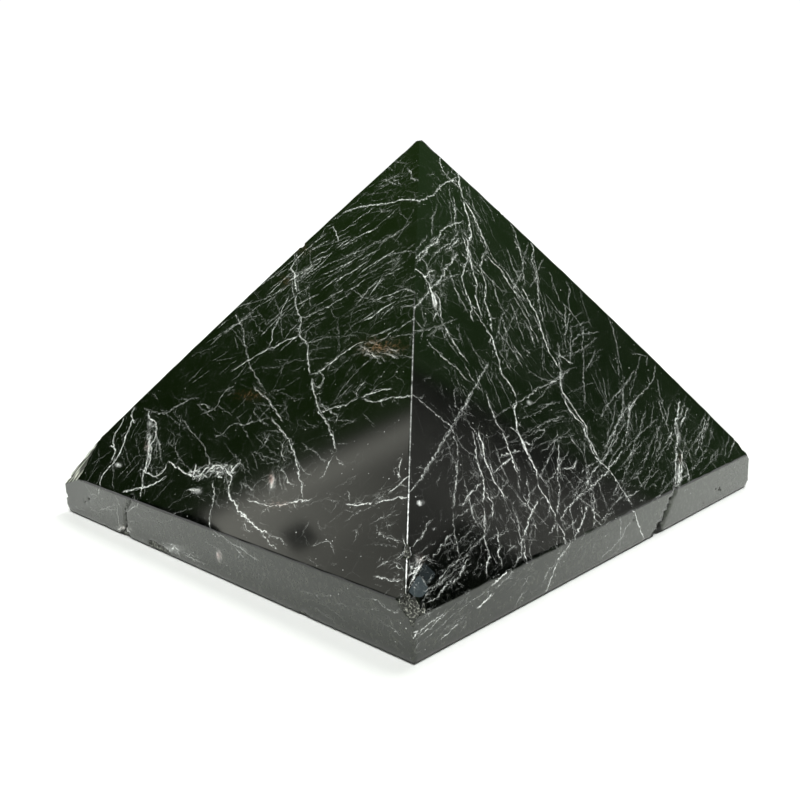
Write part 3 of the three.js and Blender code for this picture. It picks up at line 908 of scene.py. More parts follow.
    (0.7, [(434, 518), (427, 524), (424, 530), (420, 539), (412, 549)]),
    (0.78, [(432, 529), (437, 529)]),
    (0.8, [(495, 525), (498, 531), (499, 542), (499, 554), (502, 569)]),
    (0.5, [(491, 552), (495, 560), (501, 567)]),
    (0.6, [(519, 545), (512, 548), (506, 553)]),
    (0.5, [(510, 528), (514, 530), (519, 531)]),
    (0.8, [(532, 524), (536, 525), (538, 531)]),
    (0.5, [(509, 479), (503, 487), (495, 498), (488, 499)]),
    (0.5, [(501, 474), (504, 480), (503, 487)]),
    (0.5, [(515, 499), (514, 508), (508, 522), (506, 529)]),
    (0.5, [(491, 520), (488, 533)]),
    (0.4, [(494, 508), (495, 517), (498, 525)]),
    (0.5, [(468, 469), (474, 476), (482, 483)]),
    (0.6, [(526, 555), (531, 559)]),
    (0.39, [(462, 571), (464, 575), (469, 571)]),
    (0.62, [(457, 582), (460, 585), (464, 587)]),
    (0.39, [(434, 574), (426, 585)]),
    (0.39, [(436, 572), (448, 568)]),
    (0.9, [
        (589, 440), (593, 452), (598, 461), (608, 469), (613, 476), (617, 482), (624, 492),
        (630, 501), (633, 508),
    ]),
    (0.6, [(585, 440), (585, 458), (587, 473), (589, 490)]),
    (0.5, [(616, 400), (614, 418), (608, 434), (608, 444)]),
    (0.7, [(624, 410), (618, 422), (612, 441), (607, 454), (595, 470), (584, 487)]),
    (0.5, [(627, 407), (628, 418), (633, 428), (634, 436)]),
    (0.7, [(636, 400), (630, 407), (628, 424), (626, 436), (625, 447)]),
    (0.6, [(645, 410), (641, 428), (634, 444), (629, 459)]),
    (0.5, [(654, 400), (652, 416), (650, 430)]),
    (0.5, [(656, 422), (657, 433), (659, 445)]),
    (0.7, [(659, 400), (663, 416), (667, 425), (669, 434)]),
    (0.8, [(673, 430), (667, 441), (665, 445)]),
    (0.5, [(665, 446), (657, 458), (650, 473), (644, 490)]),
    (0.9, [(681, 400), (679, 407), (676, 421), (678, 428), (678, 434)]),
    (0.9, [(688, 407), (684, 418), (680, 428)]),
    (1.1, [(679, 432), (679, 436), (677, 442), (676, 451)]),
    (1.1, [(679, 447), (682, 453), (682, 461)]),
    (0.8, [(676, 448), (676, 457), (676, 468), (676, 478)]),
    (1.2, [(680, 461), (679, 473), (678, 485)]),
    (0.9, [(677, 449), (676, 460), (676, 472), (675, 486)]),
    (1, [(682, 458), (682, 468), (681, 476), (680, 484)]),
    (0.8, [(680, 402), (677, 415), (675, 428), (677, 440)]),
    (0.9, [(683, 461), (687, 465), (688, 472), (690, 483)]),
    (0.5, [(682, 436), (686, 446), (690, 454), (692, 465), (693, 474)]),
    (0.6, [(710, 414), (707, 427), (704, 434), (701, 448), (703, 456), (705, 461)]),
    (0.5, [(718, 448), (712, 458), (710, 463)]),
    (0.5, [(713, 427), (712, 440)]),
    (0.4, [(724, 439), (722, 451)]),
    (0.6, [(642, 468), (638, 476), (632, 481)]),
    (0.8, [(623, 450), (610, 468), (596, 484), (587, 491), (578, 497), (567, 509), (560, 521)]),
    (0.6, [(579, 514), (572, 524), (565, 532)]),
    (0.9, [(588, 505), (584, 518), (578, 532), (573, 539)]),
    (0.9, [(589, 502), (594, 501), (594, 512), (595, 521), (592, 527)]),
    (0.6, [(596, 470), (602, 493), (607, 507)]),
    (0.6, [(567, 432), (574, 442), (582, 452), (585, 461)]),
    (0.6, [(621, 478), (617, 486), (613, 497)]),
    (0.5, [(630, 490), (621, 497), (611, 508), (606, 513)]),
    (0.7, [(614, 510), (608, 513), (602, 522)]),
    (0.7, [(640, 490), (632, 494), (624, 501)]),
    (1, [(653, 484), (657, 487)]),
    (0.5, [(667, 472), (664, 480), (661, 487)]),
    (0.5, [(635, 468), (638, 478), (644, 490)]),
    (0.5, [(645, 464), (648, 453)]),
    (0.6, [(645, 494), (645, 502)]),
    (0.6, [(628, 465), (624, 478), (621, 485)]),
    (0.8, [(582, 475), (583, 467)]),
    (0.7, [(585, 472), (590, 465), (596, 463)]),
    (1.01, [(407.5, 592), (410, 586.5), (413.5, 580), (417, 573), (420, 566.5), (422.5, 561.5)]),
    (0.55, [(409.5, 583), (412.5, 577), (415.5, 571), (418, 565)]),
    (0.55, [(418.4, 574.3), (422, 579), (427, 585), (429, 590)]),
    (0.55, [(427, 585), (431, 579), (435, 573.5)]),
]
SOUTH_SIDE_VEINS = [
    (0.9, [(100, 488), (99, 492), (98, 496)]),
    (0.5, [(84, 483), (92, 495), (98, 496)]),
    (0.4, [(98, 496), (91, 499), (86, 503)]),
    (0.6, [(114, 492), (117, 500), (121, 509), (124, 512)]),
    (0.7, [(139, 500), (137, 506), (131, 509), (127, 513)]),
    (0.6, [(117, 502), (117, 513), (119, 523), (119, 530)]),
    (0.6, [(128, 520), (130, 522), (135, 521)]),
    (1.4, [(117, 530), (122, 528), (128, 530), (131, 533)]),
    (1.0, [(144, 544), (152, 548), (161, 551), (166, 547)]),
    (0.9, [(166, 547), (167, 552), (175, 547), (180, 552)]),
    (0.6, [(180, 552), (188, 554), (195, 557), (202, 559)]),
    (0.6, [(212, 529), (218, 534), (226, 539), (240, 548), (251, 556), (260, 560)]),
    (0.6, [(240, 540), (241, 550), (239, 559)]),
    (0.4, [(73, 504), (78, 509), (86, 511)]),
    (0.3, [(149, 520), (162, 522), (175, 520)]),
    (1.6, [(218, 551), (219, 557)]),
    (0.6, [(370, 597), (377, 601), (384, 607), (390, 611), (400, 612)]),
    (0.4, [(370, 606), (378, 611), (381, 609)]),
    (0.5, [(383, 624), (388, 625), (393, 629), (404, 635)]),
    (0.5, [(400, 642), (404, 646)]),
]
EAST_SIDE_VEINS = [
    (1.0, [(566, 549), (558, 561), (554, 572), (549, 585), (545, 595)]),
    (0.6, [(572, 544), (566, 549)]),
    (0.6, [(557, 556), (554, 566), (548, 570), (545, 578), (542, 583)]),
    (1.1, [(520, 560), (510, 569), (500, 578), (491, 587)]),
    (0.7, [(515, 571), (503, 582), (495, 590)]),
    (1.1, [(495, 593), (485, 601), (476, 609)]),
    (0.6, [(525, 588), (519, 599), (515, 606)]),
    (0.7, [(527, 569), (529, 571)]),
    (0.5, [(534, 557), (531, 567), (527, 571)]),
    (0.4, [(526, 579), (530, 587)]),
    (0.7, [(510, 577), (514, 579)]),
    (1.0, [(633, 508), (635, 514), (639, 525), (642, 533), (645, 541)]),
    (0.6, [(619, 509), (621, 522), (621, 536), (619, 552)]),
    (0.6, [(633, 519), (627, 528), (621, 539), (612, 548), (600, 559)]),
    (0.5, [(595, 541), (592, 553)]),
    (0.5, [(590, 530), (584, 536), (579, 543)]),
    (0.8, [(573, 539), (567, 549), (560, 560)]),
    (0.4, [(614, 518), (604, 526)]),
    (0.4, [(650, 508), (650, 509)]),
    (0.8, [(447, 609), (443, 613), (433, 622), (423, 629), (415, 636)]),
    (0.7, [(451, 610), (440, 619), (430, 628), (419, 637), (414, 641)]),
    (0.8, [(460, 622), (451, 630), (447, 634), (439, 642)]),
    (0.8, [(426, 612), (430, 618)]),
    (1.8, [(413, 633), (416, 632), (419, 631)]),
    (0.6, [(422, 642), (418, 644), (415, 648), (418, 651), (415, 654)]),
]

# Fine veins too many to tell apart, in families: middle and reach of the patch in px, direction
# in degrees (0 right, 90 up) with its spread, length in px, number and strength
SOUTH_FAMILIES = [
    ((330, 270), (60, 42), 36, 7, 34, 49, 0.62),
    ((262, 318), (50, 34), 35, 8, 32, 31, 0.5),
    ((212, 368), (40, 28), 38, 14, 24, 21, 0.3),
    ((372, 235), (40, 30), 34, 8, 30, 25, 0.52),
    ((365, 190), (34, 14), 22, 14, 22, 18, 0.36),
    ((400, 170), (22, 14), 35, 30, 14, 15, 0.4),
    ((385, 290), (30, 24), 24, 10, 26, 20, 0.55),
    ((345, 335), (56, 30), 30, 14, 28, 25, 0.42),
    ((270, 320), (60, 40), -58, 14, 22, 28, 0.3),
    ((300, 400), (80, 40), 25, 30, 22, 36, 0.3),
    ((230, 420), (60, 40), -50, 25, 24, 30, 0.3),
    ((150, 450), (34, 30), 75, 20, 24, 28, 0.34),
    ((222, 469), (18, 7), 20, 30, 16, 18, 0.8),
    ((204, 472), (14, 5), 20, 30, 12, 26, 0.9),
    ((228, 474), (8, 8), 70, 40, 9, 22, 0.9),
    ((197, 491), (8, 3), 15, 20, 8, 10, 0.7),
    ((149, 444), (3, 16), 80, 14, 12, 13, 0.85),
    ((270, 470), (34, 30), -60, 20, 18, 25, 0.34),
    ((152, 436), (8, 22), 75, 25, 14, 16, 0.48),
    ((320, 500), (60, 24), 15, 25, 20, 20, 0.26),
    ((390, 540), (20, 28), 35, 35, 16, 18, 0.34),
    ((385, 495), (26, 14), 25, 20, 18, 13, 0.36),
    ((100, 470), (16, 16), 60, 15, 18, 8, 0.3),
    ((300, 290), (16, 40), -80, 15, 20, 16, 0.36),
    ((250, 500), (40, 16), -35, 15, 20, 10, 0.34),
    ((378, 349), (18, 7), -24, 9, 20, 13, 0.62),
]
EAST_FAMILIES = [
    ((416, 589), (5, 4), -50, 10, 7, 8, 0.45),
    ((470, 250), (22, 60), -64, 8, 34, 33, 0.52),
    ((520, 300), (26, 60), -62, 8, 36, 31, 0.5),
    ((560, 330), (30, 50), -68, 9, 30, 26, 0.5),
    ((445, 200), (20, 40), -70, 20, 22, 20, 0.3),
    ((440, 260), (20, 26), 38, 14, 20, 13, 0.5),
    ((430, 310), (14, 30), 60, 20, 22, 8, 0.5),
    ((580, 350), (24, 40), 30, 12, 22, 14, 0.36),
    ((470, 380), (40, 40), -55, 12, 30, 28, 0.34),
    ((540, 420), (50, 36), 22, 10, 34, 15, 0.4),
    ((600, 400), (40, 46), -72, 8, 36, 22, 0.46),
    ((640, 420), (36, 40), 64, 8, 38, 20, 0.44),
    ((680, 440), (34, 36), 72, 8, 36, 15, 0.44),
    ((706, 440), (30, 26), 68, 12, 24, 18, 0.4),
    ((600, 470), (46, 34), 54, 8, 36, 18, 0.44),
    ((560, 500), (40, 30), -62, 12, 30, 26, 0.5),
    ((500, 490), (40, 44), -66, 10, 32, 28, 0.48),
    ((460, 480), (30, 50), 40, 20, 22, 21, 0.3),
    ((440, 570), (30, 22), 44, 8, 32, 7, 0.38),
    ((480, 550), (34, 24), 46, 12, 30, 11, 0.38),
    ((530, 540), (30, 18), -70, 20, 18, 18, 0.36),
    ((650, 470), (40, 22), 50, 9, 34, 12, 0.4),
]
SOUTH_SIDE_FAMILIES = [
    ((120, 515), (30, 14), -30, 20, 14, 12, 0.34),
    ((200, 550), (50, 12), -22, 12, 18, 16, 0.4),
    ((330, 600), (70, 16), -24, 14, 24, 14, 0.26),
]
EAST_SIDE_FAMILIES = [
    ((450, 615), (36, 20), 38, 6, 30, 22, 0.36),
    ((520, 585), (30, 16), 44, 10, 22, 18, 0.36),
    ((600, 545), (40, 14), 46, 14, 18, 20, 0.3),
    ((700, 500), (30, 12), 30, 20, 14, 8, 0.24),
]
# The same on the faces that the photograph doesn't show, in mm on the face: along its foot and
# up its slope, the long veins first
HIDDEN_FAMILIES = [
    ((12, 30), (8, 14), -62, 10, 26, 9, 0.95),
    ((-12, 26), (12, 14), 52, 12, 22, 8, 0.85),
    ((8, 12), (26, 8), 18, 20, 20, 9, 0.8),
    ((-24, 8), (8, 6), 78, 16, 13, 7, 1.0),
    ((0, 36), (12, 16), 34, 14, 7, 90, 0.36),
    ((-14, 16), (18, 12), 50, 20, 6, 110, 0.34),
    ((18, 16), (16, 12), -58, 18, 6, 110, 0.36),
    ((0, 6), (34, 5), 40, 40, 5, 90, 0.32),
    ((6, 44), (6, 12), 70, 40, 4, 40, 0.36),
]
HIDDEN_SIDE_FAMILIES = [  # and on their sides
    ((40, 3), (38, 3), 50, 18, 5, 30, 0.36),
    ((40, 3), (38, 3), -30, 16, 6, 16, 0.3),
]

draws = np.random.default_rng(12)
vein_distance = np.zeros((GROUPS, len(sound)), np.float32)
vein_strength = np.zeros((GROUPS, len(sound)), np.float32)
vein_number = np.zeros((GROUPS, len(sound)), np.int32)
vein_numbers = itertools.count(1)
places = {
    surface: (np.flatnonzero(here), surface.flat(sound[here]))
    for surface, here in zip(surfaces, on_surface)
}


def cast(pixels, surface):
    """Where the sight lines through pixels of the photograph meet a surface, along and up it.
    The plane is met first, then twice again with the bulge found there."""
    pixels = np.array(pixels, float)
    sight = ahead + np.outer((pixels[:, 0] - PHOTO_PX / 2) / FOCAL_PX, sideways)
    sight = sight - np.outer((pixels[:, 1] - PHOTO_PX / 2) / FOCAL_PX, upward)
    bulge = 0.0
    for _ in range(3):
        far = (bulge - (CAMERA_AT - surface.foot) @ surface.outward) / (sight @ surface.outward)
        met = CAMERA_AT + far[:, None] * sight
        bulge = surface.bulge(met)
    return surface.flat(met)


def wander(route):
    """A route cut into short steps, whose points stray sideways by a little smoothed noise."""
    run = distances_along(route)
    count = max(LEAST_POINTS, int(run[-1] / STEP) + 1)
    line = between(np.linspace(0, run[-1], count), run, route)
    ahead_of = np.gradient(line, axis=0)
    aside = unit(np.stack([-ahead_of[:, 1], ahead_of[:, 0]], -1))
    stray = np.convolve(draws.normal(0, 1, count), SMOOTHING, "same")
    stray[[0, -1]] = 0
    return line + SWAY * stray[:, None] * aside


def barbs(route):
    """Short side branches of a vein: each leaves it at a random place, at 15 to 75 degrees."""
    steps, run = np.diff(route, axis=0), distances_along(route)
    for at in draws.uniform(0, run[-1], draws.poisson(run[-1] / BARB_EVERY)):
        k = min(np.searchsorted(run, at, "right"), len(steps)) - 1
        start = route[k] + steps[k] * (at - run[k]) / max(run[k + 1] - run[k], 1e-6)
        heading = math.atan2(steps[k, 1], steps[k, 0]) + draws.choice([0.0, math.pi])
        turns = heading + draws.choice([-1, 1]) * draws.uniform(*BARB_LEAN) + BARB_TURN
        half = BARB * draws.uniform(*BARB_LENGTHS) / 2
        moves = half * np.stack([np.cos(turns), np.sin(turns)], -1)
        yield start + np.concatenate([[-BARB_BACK * moves[0]], np.cumsum(moves, axis=0)])


def draw_vein(surface, route, strength):
    """Keeps one vein on the points within REACH of it: the distance from its nearest step, with
    a sign for the side, and its strength, which fades at the ends and at REACH. Each piece of
    it stays in the last one's group, or goes where the fewest points are another vein's."""
    number = next(vein_numbers)
    index, flat = places[surface]
    knots = wander(route)
    steps = np.diff(knots, axis=0)
    lengths = np.maximum(np.linalg.norm(steps, axis=1), 1e-6)
    run = np.concatenate([[0], np.cumsum(lengths)])
    group = None
    for first in range(0, len(steps), PIECE_STEPS):
        last = min(first + PIECE_STEPS, len(steps))
        corners = knots[first:last + 1]
        near = ((flat > corners.min(0) - CLEAR) & (flat < corners.max(0) + CLEAR)).all(axis=1)
        near = np.flatnonzero(near)
        if near.size == 0:
            continue
        offset = flat[near][:, None] - knots[None, first:last]
        step, length = steps[first:last], lengths[first:last]
        t = np.clip((offset * step).sum(-1) / length ** 2, 0, 1)
        offset = offset - t[..., None] * step
        distance = np.linalg.norm(offset, axis=-1)
        best = distance.argmin(axis=1)
        pick = (np.arange(near.size), best)
        distance = distance[pick]
        cross = step[best, 0] * offset[pick][:, 1] - step[best, 1] * offset[pick][:, 0]
        at = run[first + best] + t[pick] * length[best]
        ends = np.clip(np.minimum(at, run[-1] - at) / min(TAPER, run[-1] / 2), 0, 1)
        footprint = distance < CLEAR
        taken = vein_number[:, index[near[footprint]]]
        clashes = ((taken != 0) & (taken != number)).sum(axis=1)
        if group is None or clashes[group] > 0:
            group = int(clashes.argmin())
        near, distance, cross, ends = (a[footprint] for a in (near, distance, cross, ends))
        spots = index[near]
        value = strength * ends ** TAPER_POWER * np.clip((REACH - distance) / FADE, 0, 1)
        owner = vein_number[group, spots]
        free = (owner == 0) | ((owner == number) & (abs(vein_distance[group, spots]) > distance))
        spots = spots[free]
        vein_distance[group, spots] = np.copysign(distance, cross)[free]
        vein_strength[group, spots] = value[free]
        vein_number[group, spots] = number


def family(middle, reach, direction, spread, length, number, kinks=5):
    """Routes of one family: each through a random point of the patch, in a random direction of
    the spread, with a small random turn at every kink."""
    for _ in range(number):
        angle, far = draws.uniform(0, 2 * math.pi), math.sqrt(draws.uniform())
        start = np.array(middle) + far * np.array(reach) * [math.cos(angle), math.sin(angle)]
        heading = math.radians(draws.normal(direction, spread))
        turns = np.cumsum(draws.normal(0, BEND, kinks)) + heading
        long = length * draws.uniform(*FINE_LENGTHS) / len(turns)
        moves = long * np.stack([np.cos(turns), np.sin(turns)], -1)
        yield start + np.concatenate([[[0, 0]], np.cumsum(moves, axis=0)]) - moves.sum(0) / 2


seen = [
    (south, SOUTH_VEINS, SOUTH_FAMILIES), (east, EAST_VEINS, EAST_FAMILIES),
    (south_side, SOUTH_SIDE_VEINS, SOUTH_SIDE_FAMILIES),
    (east_side, EAST_SIDE_VEINS, EAST_SIDE_FAMILIES),
]
for surface, routes, families in seen:
    for strength, route in routes:
        route = cast(route, surface)
        draw_vein(surface, route, strength)
        for barb in barbs(route):
            draw_vein(surface, barb, strength * draws.uniform(*BARB_STRENGTHS))
    for middle, reach, direction, spread, length, count, strength in families:
        for route in family(np.array(middle) * FLIP, reach, direction, spread, length, count):
            route = cast(route * FLIP, surface)
            draw_vein(surface, route, strength * draws.uniform(*FINE_STRENGTHS))
hidden = [
    (north, HIDDEN_FAMILIES, 1), (west, HIDDEN_FAMILIES, -1),
    (north_side, HIDDEN_SIDE_FAMILIES, 1), (west_side, HIDDEN_SIDE_FAMILIES, 1),
]
for surface, families, mirror in hidden:
    for middle, reach, direction, spread, length, count, strength in families:
        for route in family(middle, reach, direction, spread, length, count, 5 + length):
            route = route * [mirror, 1]
            draw_vein(surface, route, strength * draws.uniform(*FINE_STRENGTHS))
            for barb in barbs(route) if length > LONG else ():
                draw_vein(surface, barb, strength * draws.uniform(*HIDDEN_BARB_STRENGTHS))


# Milky clouds where the fissures crowd, and the stains that iron left in them
HAZE = [  # surface, middle in px, reach in px and density
    (south, (216, 474), (22, 13), 0.9), (south, (152, 450), (12, 30), 0.38),
    (south, (168, 455), (24, 20), 0.35), (south, (235, 500), (16, 20), 0.4),
    (south, (195, 491), (10, 6), 0.5), (south, (285, 440), (18, 40), 0.25),
    (south, (300, 290), (14, 40), 0.35), (south, (380, 380), (40, 16), 0.22),
    (south, (340, 270), (70, 34), 0.3), (south, (398, 182), (30, 20), 0.6),
    (south, (252, 322), (34, 26), 0.3), (south, (372, 500), (34, 7), 0.4),
    (south, (270, 480), (14, 20), 0.4), (south, (108, 445), (10, 24), 0.25),
    (south, (400, 300), (18, 40), 0.3), (south, (338, 336), (34, 26), 0.4),
    (east, (466, 215), (16, 50), 0.25), (east, (440, 265), (22, 34), 0.4),
    (east, (436, 305), (10, 22), 0.6), (east, (515, 300), (16, 44), 0.6),
    (east, (545, 340), (14, 40), 0.35), (east, (600, 440), (26, 50), 0.15),
    (east, (560, 380), (20, 20), 0.3), (east, (530, 430), (34, 14), 0.3),
    (east, (680, 450), (12, 46), 0.5), (east, (640, 440), (26, 34), 0.28),
    (east, (545, 500), (20, 30), 0.2), (east, (485, 460), (18, 60), 0.25),
    (east, (446, 590), (16, 9), 0.8), (east, (490, 530), (20, 30), 0.2),
    (east, (560, 540), (14, 14), 0.5), (east, (705, 450), (26, 24), 0.5),
    (east, (500, 350), (16, 22), 0.4), (east, (582, 430), (18, 24), 0.5),
    (east, (600, 520), (14, 14), 0.5),
    (south_side, (165, 550), (20, 5), 0.5), (south_side, (224, 555), (8, 8), 0.35),
    (south_side, (124, 528), (8, 5), 0.9), (south_side, (245, 552), (14, 8), 0.25),
    (east_side, (566, 552), (8, 8), 0.6),
]
HIDDEN_HAZE = [  # along the foot and up the slope, in mm
    ((10, 30), (7, 12), 0.4), ((-14, 24), (9, 8), 0.35), ((14, 12), (14, 5), 0.35),
    ((-24, 8), (6, 7), 0.5), ((0, 46), (4, 8), 0.35), ((26, 6), (6, 5), 0.4),
]
RUST = [  # the same for rusty stains
    (south, (249, 395), (12, 4), 0.7), (south, (380, 347), (18, 7), 1.0),
    (south, (285, 281), (5, 4), 0.6), (south, (303, 249), (8, 5), 0.4),
    (south, (279, 505), (10, 3), 0.35), (south_side, (219, 558), (2.5, 3), 0.4),
    (south_side, (124, 528), (6, 4), 0.4), (east, (560, 262), (6, 6), 0.3),
]
ROSE = [  # for rosy ones
    (south, (271, 479), (2, 5), 1.6), (south, (147, 446), (2, 5), 0.7),
    (south, (279, 504), (9, 2), 0.6), (south_side, (219, 555), (2, 4), 1.2),
    (east, (420, 560), (3, 5), 0.4), (east, (680, 459), (2, 4), 0.6),
]
WHITE = [  # and for knots of solid quartz, and the glint on a small pit on the east face, a painted highlight
    (south, (272, 482), (1.5, 5), 3.0), (south, (149, 445), (0.7, 7), 1.1),
    (south_side, (219, 556), (1.4, 3.5), 2.5), (south_side, (124, 529), (5, 1.6), 1.8),
    (south_side, (170, 549), (12, 3), 0.6), (east, (529, 402), (1.4, 1.1), 2.0),
    # the glint on the small pit there, painted white: a painted highlight
    (east, (420, 503), (1.7, 1.4), 3.0),
    (east, (679, 475), (1.2, 9), 1.1), (east, (679, 438), (1.0, 5), 0.9),
    (east, (434, 302), (1.0, 3.5), 1.6), (south, (118, 465), (2.6, 1.3), 1.8),
    (east, (417, 562), (1.4, 4), 0.9), (south, (198, 491), (2.6, 1.6), 1.4),
    (south, (150, 424), (1.6, 2.4), 1.2),
]
CLEFT_SHINE_PANES = [  # corners of the two panes of a plane inside the stone, whose blue-grey shine is a painted reflection
    [(408.5, 591.5), (418.4, 574.3), (426.9, 584.9), (429, 590.2), (421.2, 597.6), (414, 596.5)],
    [(418.4, 574.3), (424, 562.5), (435, 573), (434.5, 577.5), (426.9, 584.9)],
]
CLEFT_SHINE_SHARES = (0.8, 0.3, 0.0)  # how much of the painted shine each pane shows, and nothing for a third


def patches(spots, hidden_spots=()):
    """A value on every point: the sum of soft ellipses exp(-r squared) about each spot, whose
    half axes are a pixel reach turned to mm at that place."""
    value = np.zeros(len(sound), np.float32)
    for surface, middle, reach, density in spots:
        index, flat = places[surface]
        centre, right, over = cast(
            [middle, (middle[0] + reach[0], middle[1]), (middle[0], middle[1] - reach[1])], surface
        )
        axes = np.stack([right - centre, over - centre], -1)
        r = (flat - centre) @ np.linalg.inv(axes).T
        value[index] += density * np.exp(-(r ** 2).sum(-1))
    for surface, mirror in ((north, 1), (west, -1)):
        for middle, reach, density in hidden_spots:
            index, flat = places[surface]
            r = (flat - np.array(middle) * [mirror, 1]) / reach
            value[index] += density * np.exp(-(r ** 2).sum(-1))
    return value


def keep(name, values, kind="FLOAT"):
    """Writes an array with a row for each point to the mesh as a named attribute."""
    layer = stone_mesh.attributes.new(name, kind, "POINT")
    key = {"FLOAT": "value", "FLOAT_VECTOR": "vector"}[kind]
    layer.data.foreach_set(key, np.ascontiguousarray(values, np.float32).ravel())


def pane(corners):
    """How far inside a convex pane of the east face every point lies: the least of its
    distances from the pane's sides."""
    index, flat = places[east]
    spots = cast(corners, east)
    sides = unit(np.roll(spots, -1, axis=0) - spots)
    inward = np.stack([-sides[:, 1], sides[:, 0]], -1)
    inward *= np.sign(((spots.mean(axis=0) - spots) * inward).sum(-1))[:, None]
    value = np.full(len(sound), -1.0)
    value[index] = np.clip(((flat[:, None] - spots) * inward).sum(-1).min(axis=1), -1, 1)
    return value


CONTRAST = 1.9  # how much more than its share a stronger vein shows
FULL_LIGHT = 1.05  # what a vein of strength 1 shows
MOST_LIGHT = 1.3
DEEPEST = 0.5  # depth past which a break's finish no longer changes
POWDER_AND_SHEEN_EAST = ((-25, 5, 20, 40), (0, 0.55, 0.7, 0.6))  # northing, and the saw's pale powder there, with painted sheen that pales the side towards its far corner
POWDER_AND_SHEEN_SOUTH = ((-38, -30, -22, 0, 20, 40), (0, 0.45, 0.3, 0.22, 0.1, 0))  # easting, and the same: powder with painted sheen, paler towards the side's far corner
POWDER_ELSEWHERE = 0.2
WEAR_AND_HIGHLIGHT_UP_RIDGE = ((15, 17, 32, 36), (1, 0.5, 0.4, 0))  # heights up the front ridge, and how pale it is painted there: partly wear, partly a painted highlight
STREAKED = (0.78, 0.85)  # paleness between which a break's crumbs give way to streaks
STREAKS = (0.55, 0.55, 4.5)  # breadth, depth and length of those streaks
BEADS = 0.5  # size of the crumbs, whose rims are pale

vein_light = np.minimum(FULL_LIGHT * vein_strength ** CONTRAST, MOST_LIGHT)
for k in range(GROUPS // 3):
    three = slice(3 * k, 3 * k + 3)
    keep(f"vein_distance_{k}", vein_distance[three].T, "FLOAT_VECTOR")
    keep(f"vein_strength_{k}", vein_light[three].T, "FLOAT_VECTOR")
for name, *spots in (("haze", HAZE, HIDDEN_HAZE), ("rust", RUST), ("rose", ROSE), ("white", WHITE)):
    keep(name, patches(*spots))
# The cleft's two panes, painted with a blue-grey reflection
keep("painted_cleft_shine", np.stack([*map(pane, CLEFT_SHINE_PANES), -np.ones(len(sound))], -1), "FLOAT_VECTOR")
# how deep each point lies in a break, with the foot's strip kept here as painted shade
keep("broken", np.clip(broken, -DEEPEST, DEEPEST))
keep("sawn", (on_side & ~on_face) | (sound[:, 2] < TOUCH))
keep("pale_break", paleness)
# The saw's powder on the sides; on the south and east sides it also grows towards their far corners
# as painted sheen
powder_and_painted_sheen = np.where(on_surface[4], np.interp(sound[:, 0], *POWDER_AND_SHEEN_SOUTH), POWDER_ELSEWHERE)
keep("powder_and_painted_sheen", np.where(on_surface[5], np.interp(sound[:, 1], *POWDER_AND_SHEEN_EAST), powder_and_painted_sheen))
# The pale line down the front ridge: partly wear, partly a painted highlight
keep("worn", np.where(front, np.interp(sound[:, 2], *WEAR_AND_HIGHLIGHT_UP_RIDGE), 0.0))
along = unit(APEX - corner(*SW, SOUTH_SIDE[0]))
across = unit(np.cross(along, south.outward))
streak_axes = np.stack([across, np.cross(across, along), along], -1) / STREAKS
streaked = (paleness > STREAKED[1])[:, None]
keep("streak_place", np.where(streaked, skin @ streak_axes, skin / BEADS), "FLOAT_VECTOR")

stone_mesh.vertices.foreach_set("co", (skin * MM).ravel())
stone_mesh.update()
stone_mesh.polygons.foreach_set("use_smooth", np.ones(len(stone_mesh.polygons), bool))
crisp = (front & (sound[:, 2] > CRISP[0]))[edge_ends(stone_mesh)].all(axis=1)
stone_mesh.edges.foreach_set("use_edge_sharp", crisp)
stone = put_in_scene("tourmaline_stone", stone_mesh)


def linear(hex_colour):
    """An sRGB hex colour as linear red, green, blue and alpha."""
    parts = [int(hex_colour[i:i + 2], 16) / 255 for i in (1, 3, 5)]
    return [c / 12.92 if c <= 0.04045 else ((c + 0.055) / 1.055) ** 2.4 for c in parts] + [1.0]


def add_node(tree, kind, inputs=(), take=0, **settings):
    """Adds one shader node and gives back its output named or numbered by take. Settings are
    its properties, and inputs its sockets by name or number, each with a value or an output."""
    node = tree.nodes.new("ShaderNode" + kind)
    for name, value in settings.items():
        setattr(node, name, value)
    for key, value in dict(inputs).items():
        if isinstance(value, bpy.types.NodeSocket):
            tree.links.new(value, node.inputs[key])
        else:
            node.inputs[key].default_value = value
    return node.outputs[take] if node.outputs else None


def empty_tree(owner):
    """The node tree of a material or world, switched on and emptied."""
    owner.use_nodes = True
    owner.node_tree.nodes.clear()
    return owner.node_tree


# Polished schorl: jet black, glassy on the lapped faces, satin on the sawn sides of the slab
# and sugary where it broke.
SCHORL_IOR = 1.63
POLISH = 0.07  # roughness of the lapped faces
SATIN = 0.2  # of the sawn sides
SUGARY = 0.62  # of the breaks
BODY = ("#020302", "#0c0e0b")  # the black, and its lighter dapples
SAWN = ("#1b1f17", "#44473c")  # the sides of the slab, and the scuffs on them
BREAK = ("#15160f", "#25271c")  # dark breaks and pale ones; the dark one also paints the shade along the slab's foot
BREAK_PALE = "#d8dacd"  # streaks of quartz in the breaks, and the rims of their crumbs
POWDER_AND_SHEEN_COLOUR = "#5b5e58"  # what the saw left on the sides, also used as painted sheen towards their far ends
CLOUD = "#74796f"  # quartz dust seen through the polish
VEIN = "#f0f2f0"  # quartz and feldspar
STAINS = {"rust": "#7c5a3e", "rose": "#b8a09a"}  # iron in the fissures, and rosy feldspar
PAINTED_CLEFT_SHINE_COLOUR = "#41494d"  # a cleft inside, shining: a painted reflection
PANE_SOFTNESS = 1 / 12  # distance over which a shining pane's edge gives out
HALF_WIDTH = 0.012  # of the faintest vein
STRONG_WIDTH = 0.036  # what full strength adds
SOFTNESS = 0.035  # distance over which a vein's edge gives out
JITTER = 0.6  # waver of a vein's line
BRAID = 0.9  # waver of the fainter thread that winds about a strong one
BRAID_SHARE = 0.3  # strength of that thread, as a share of the vein's
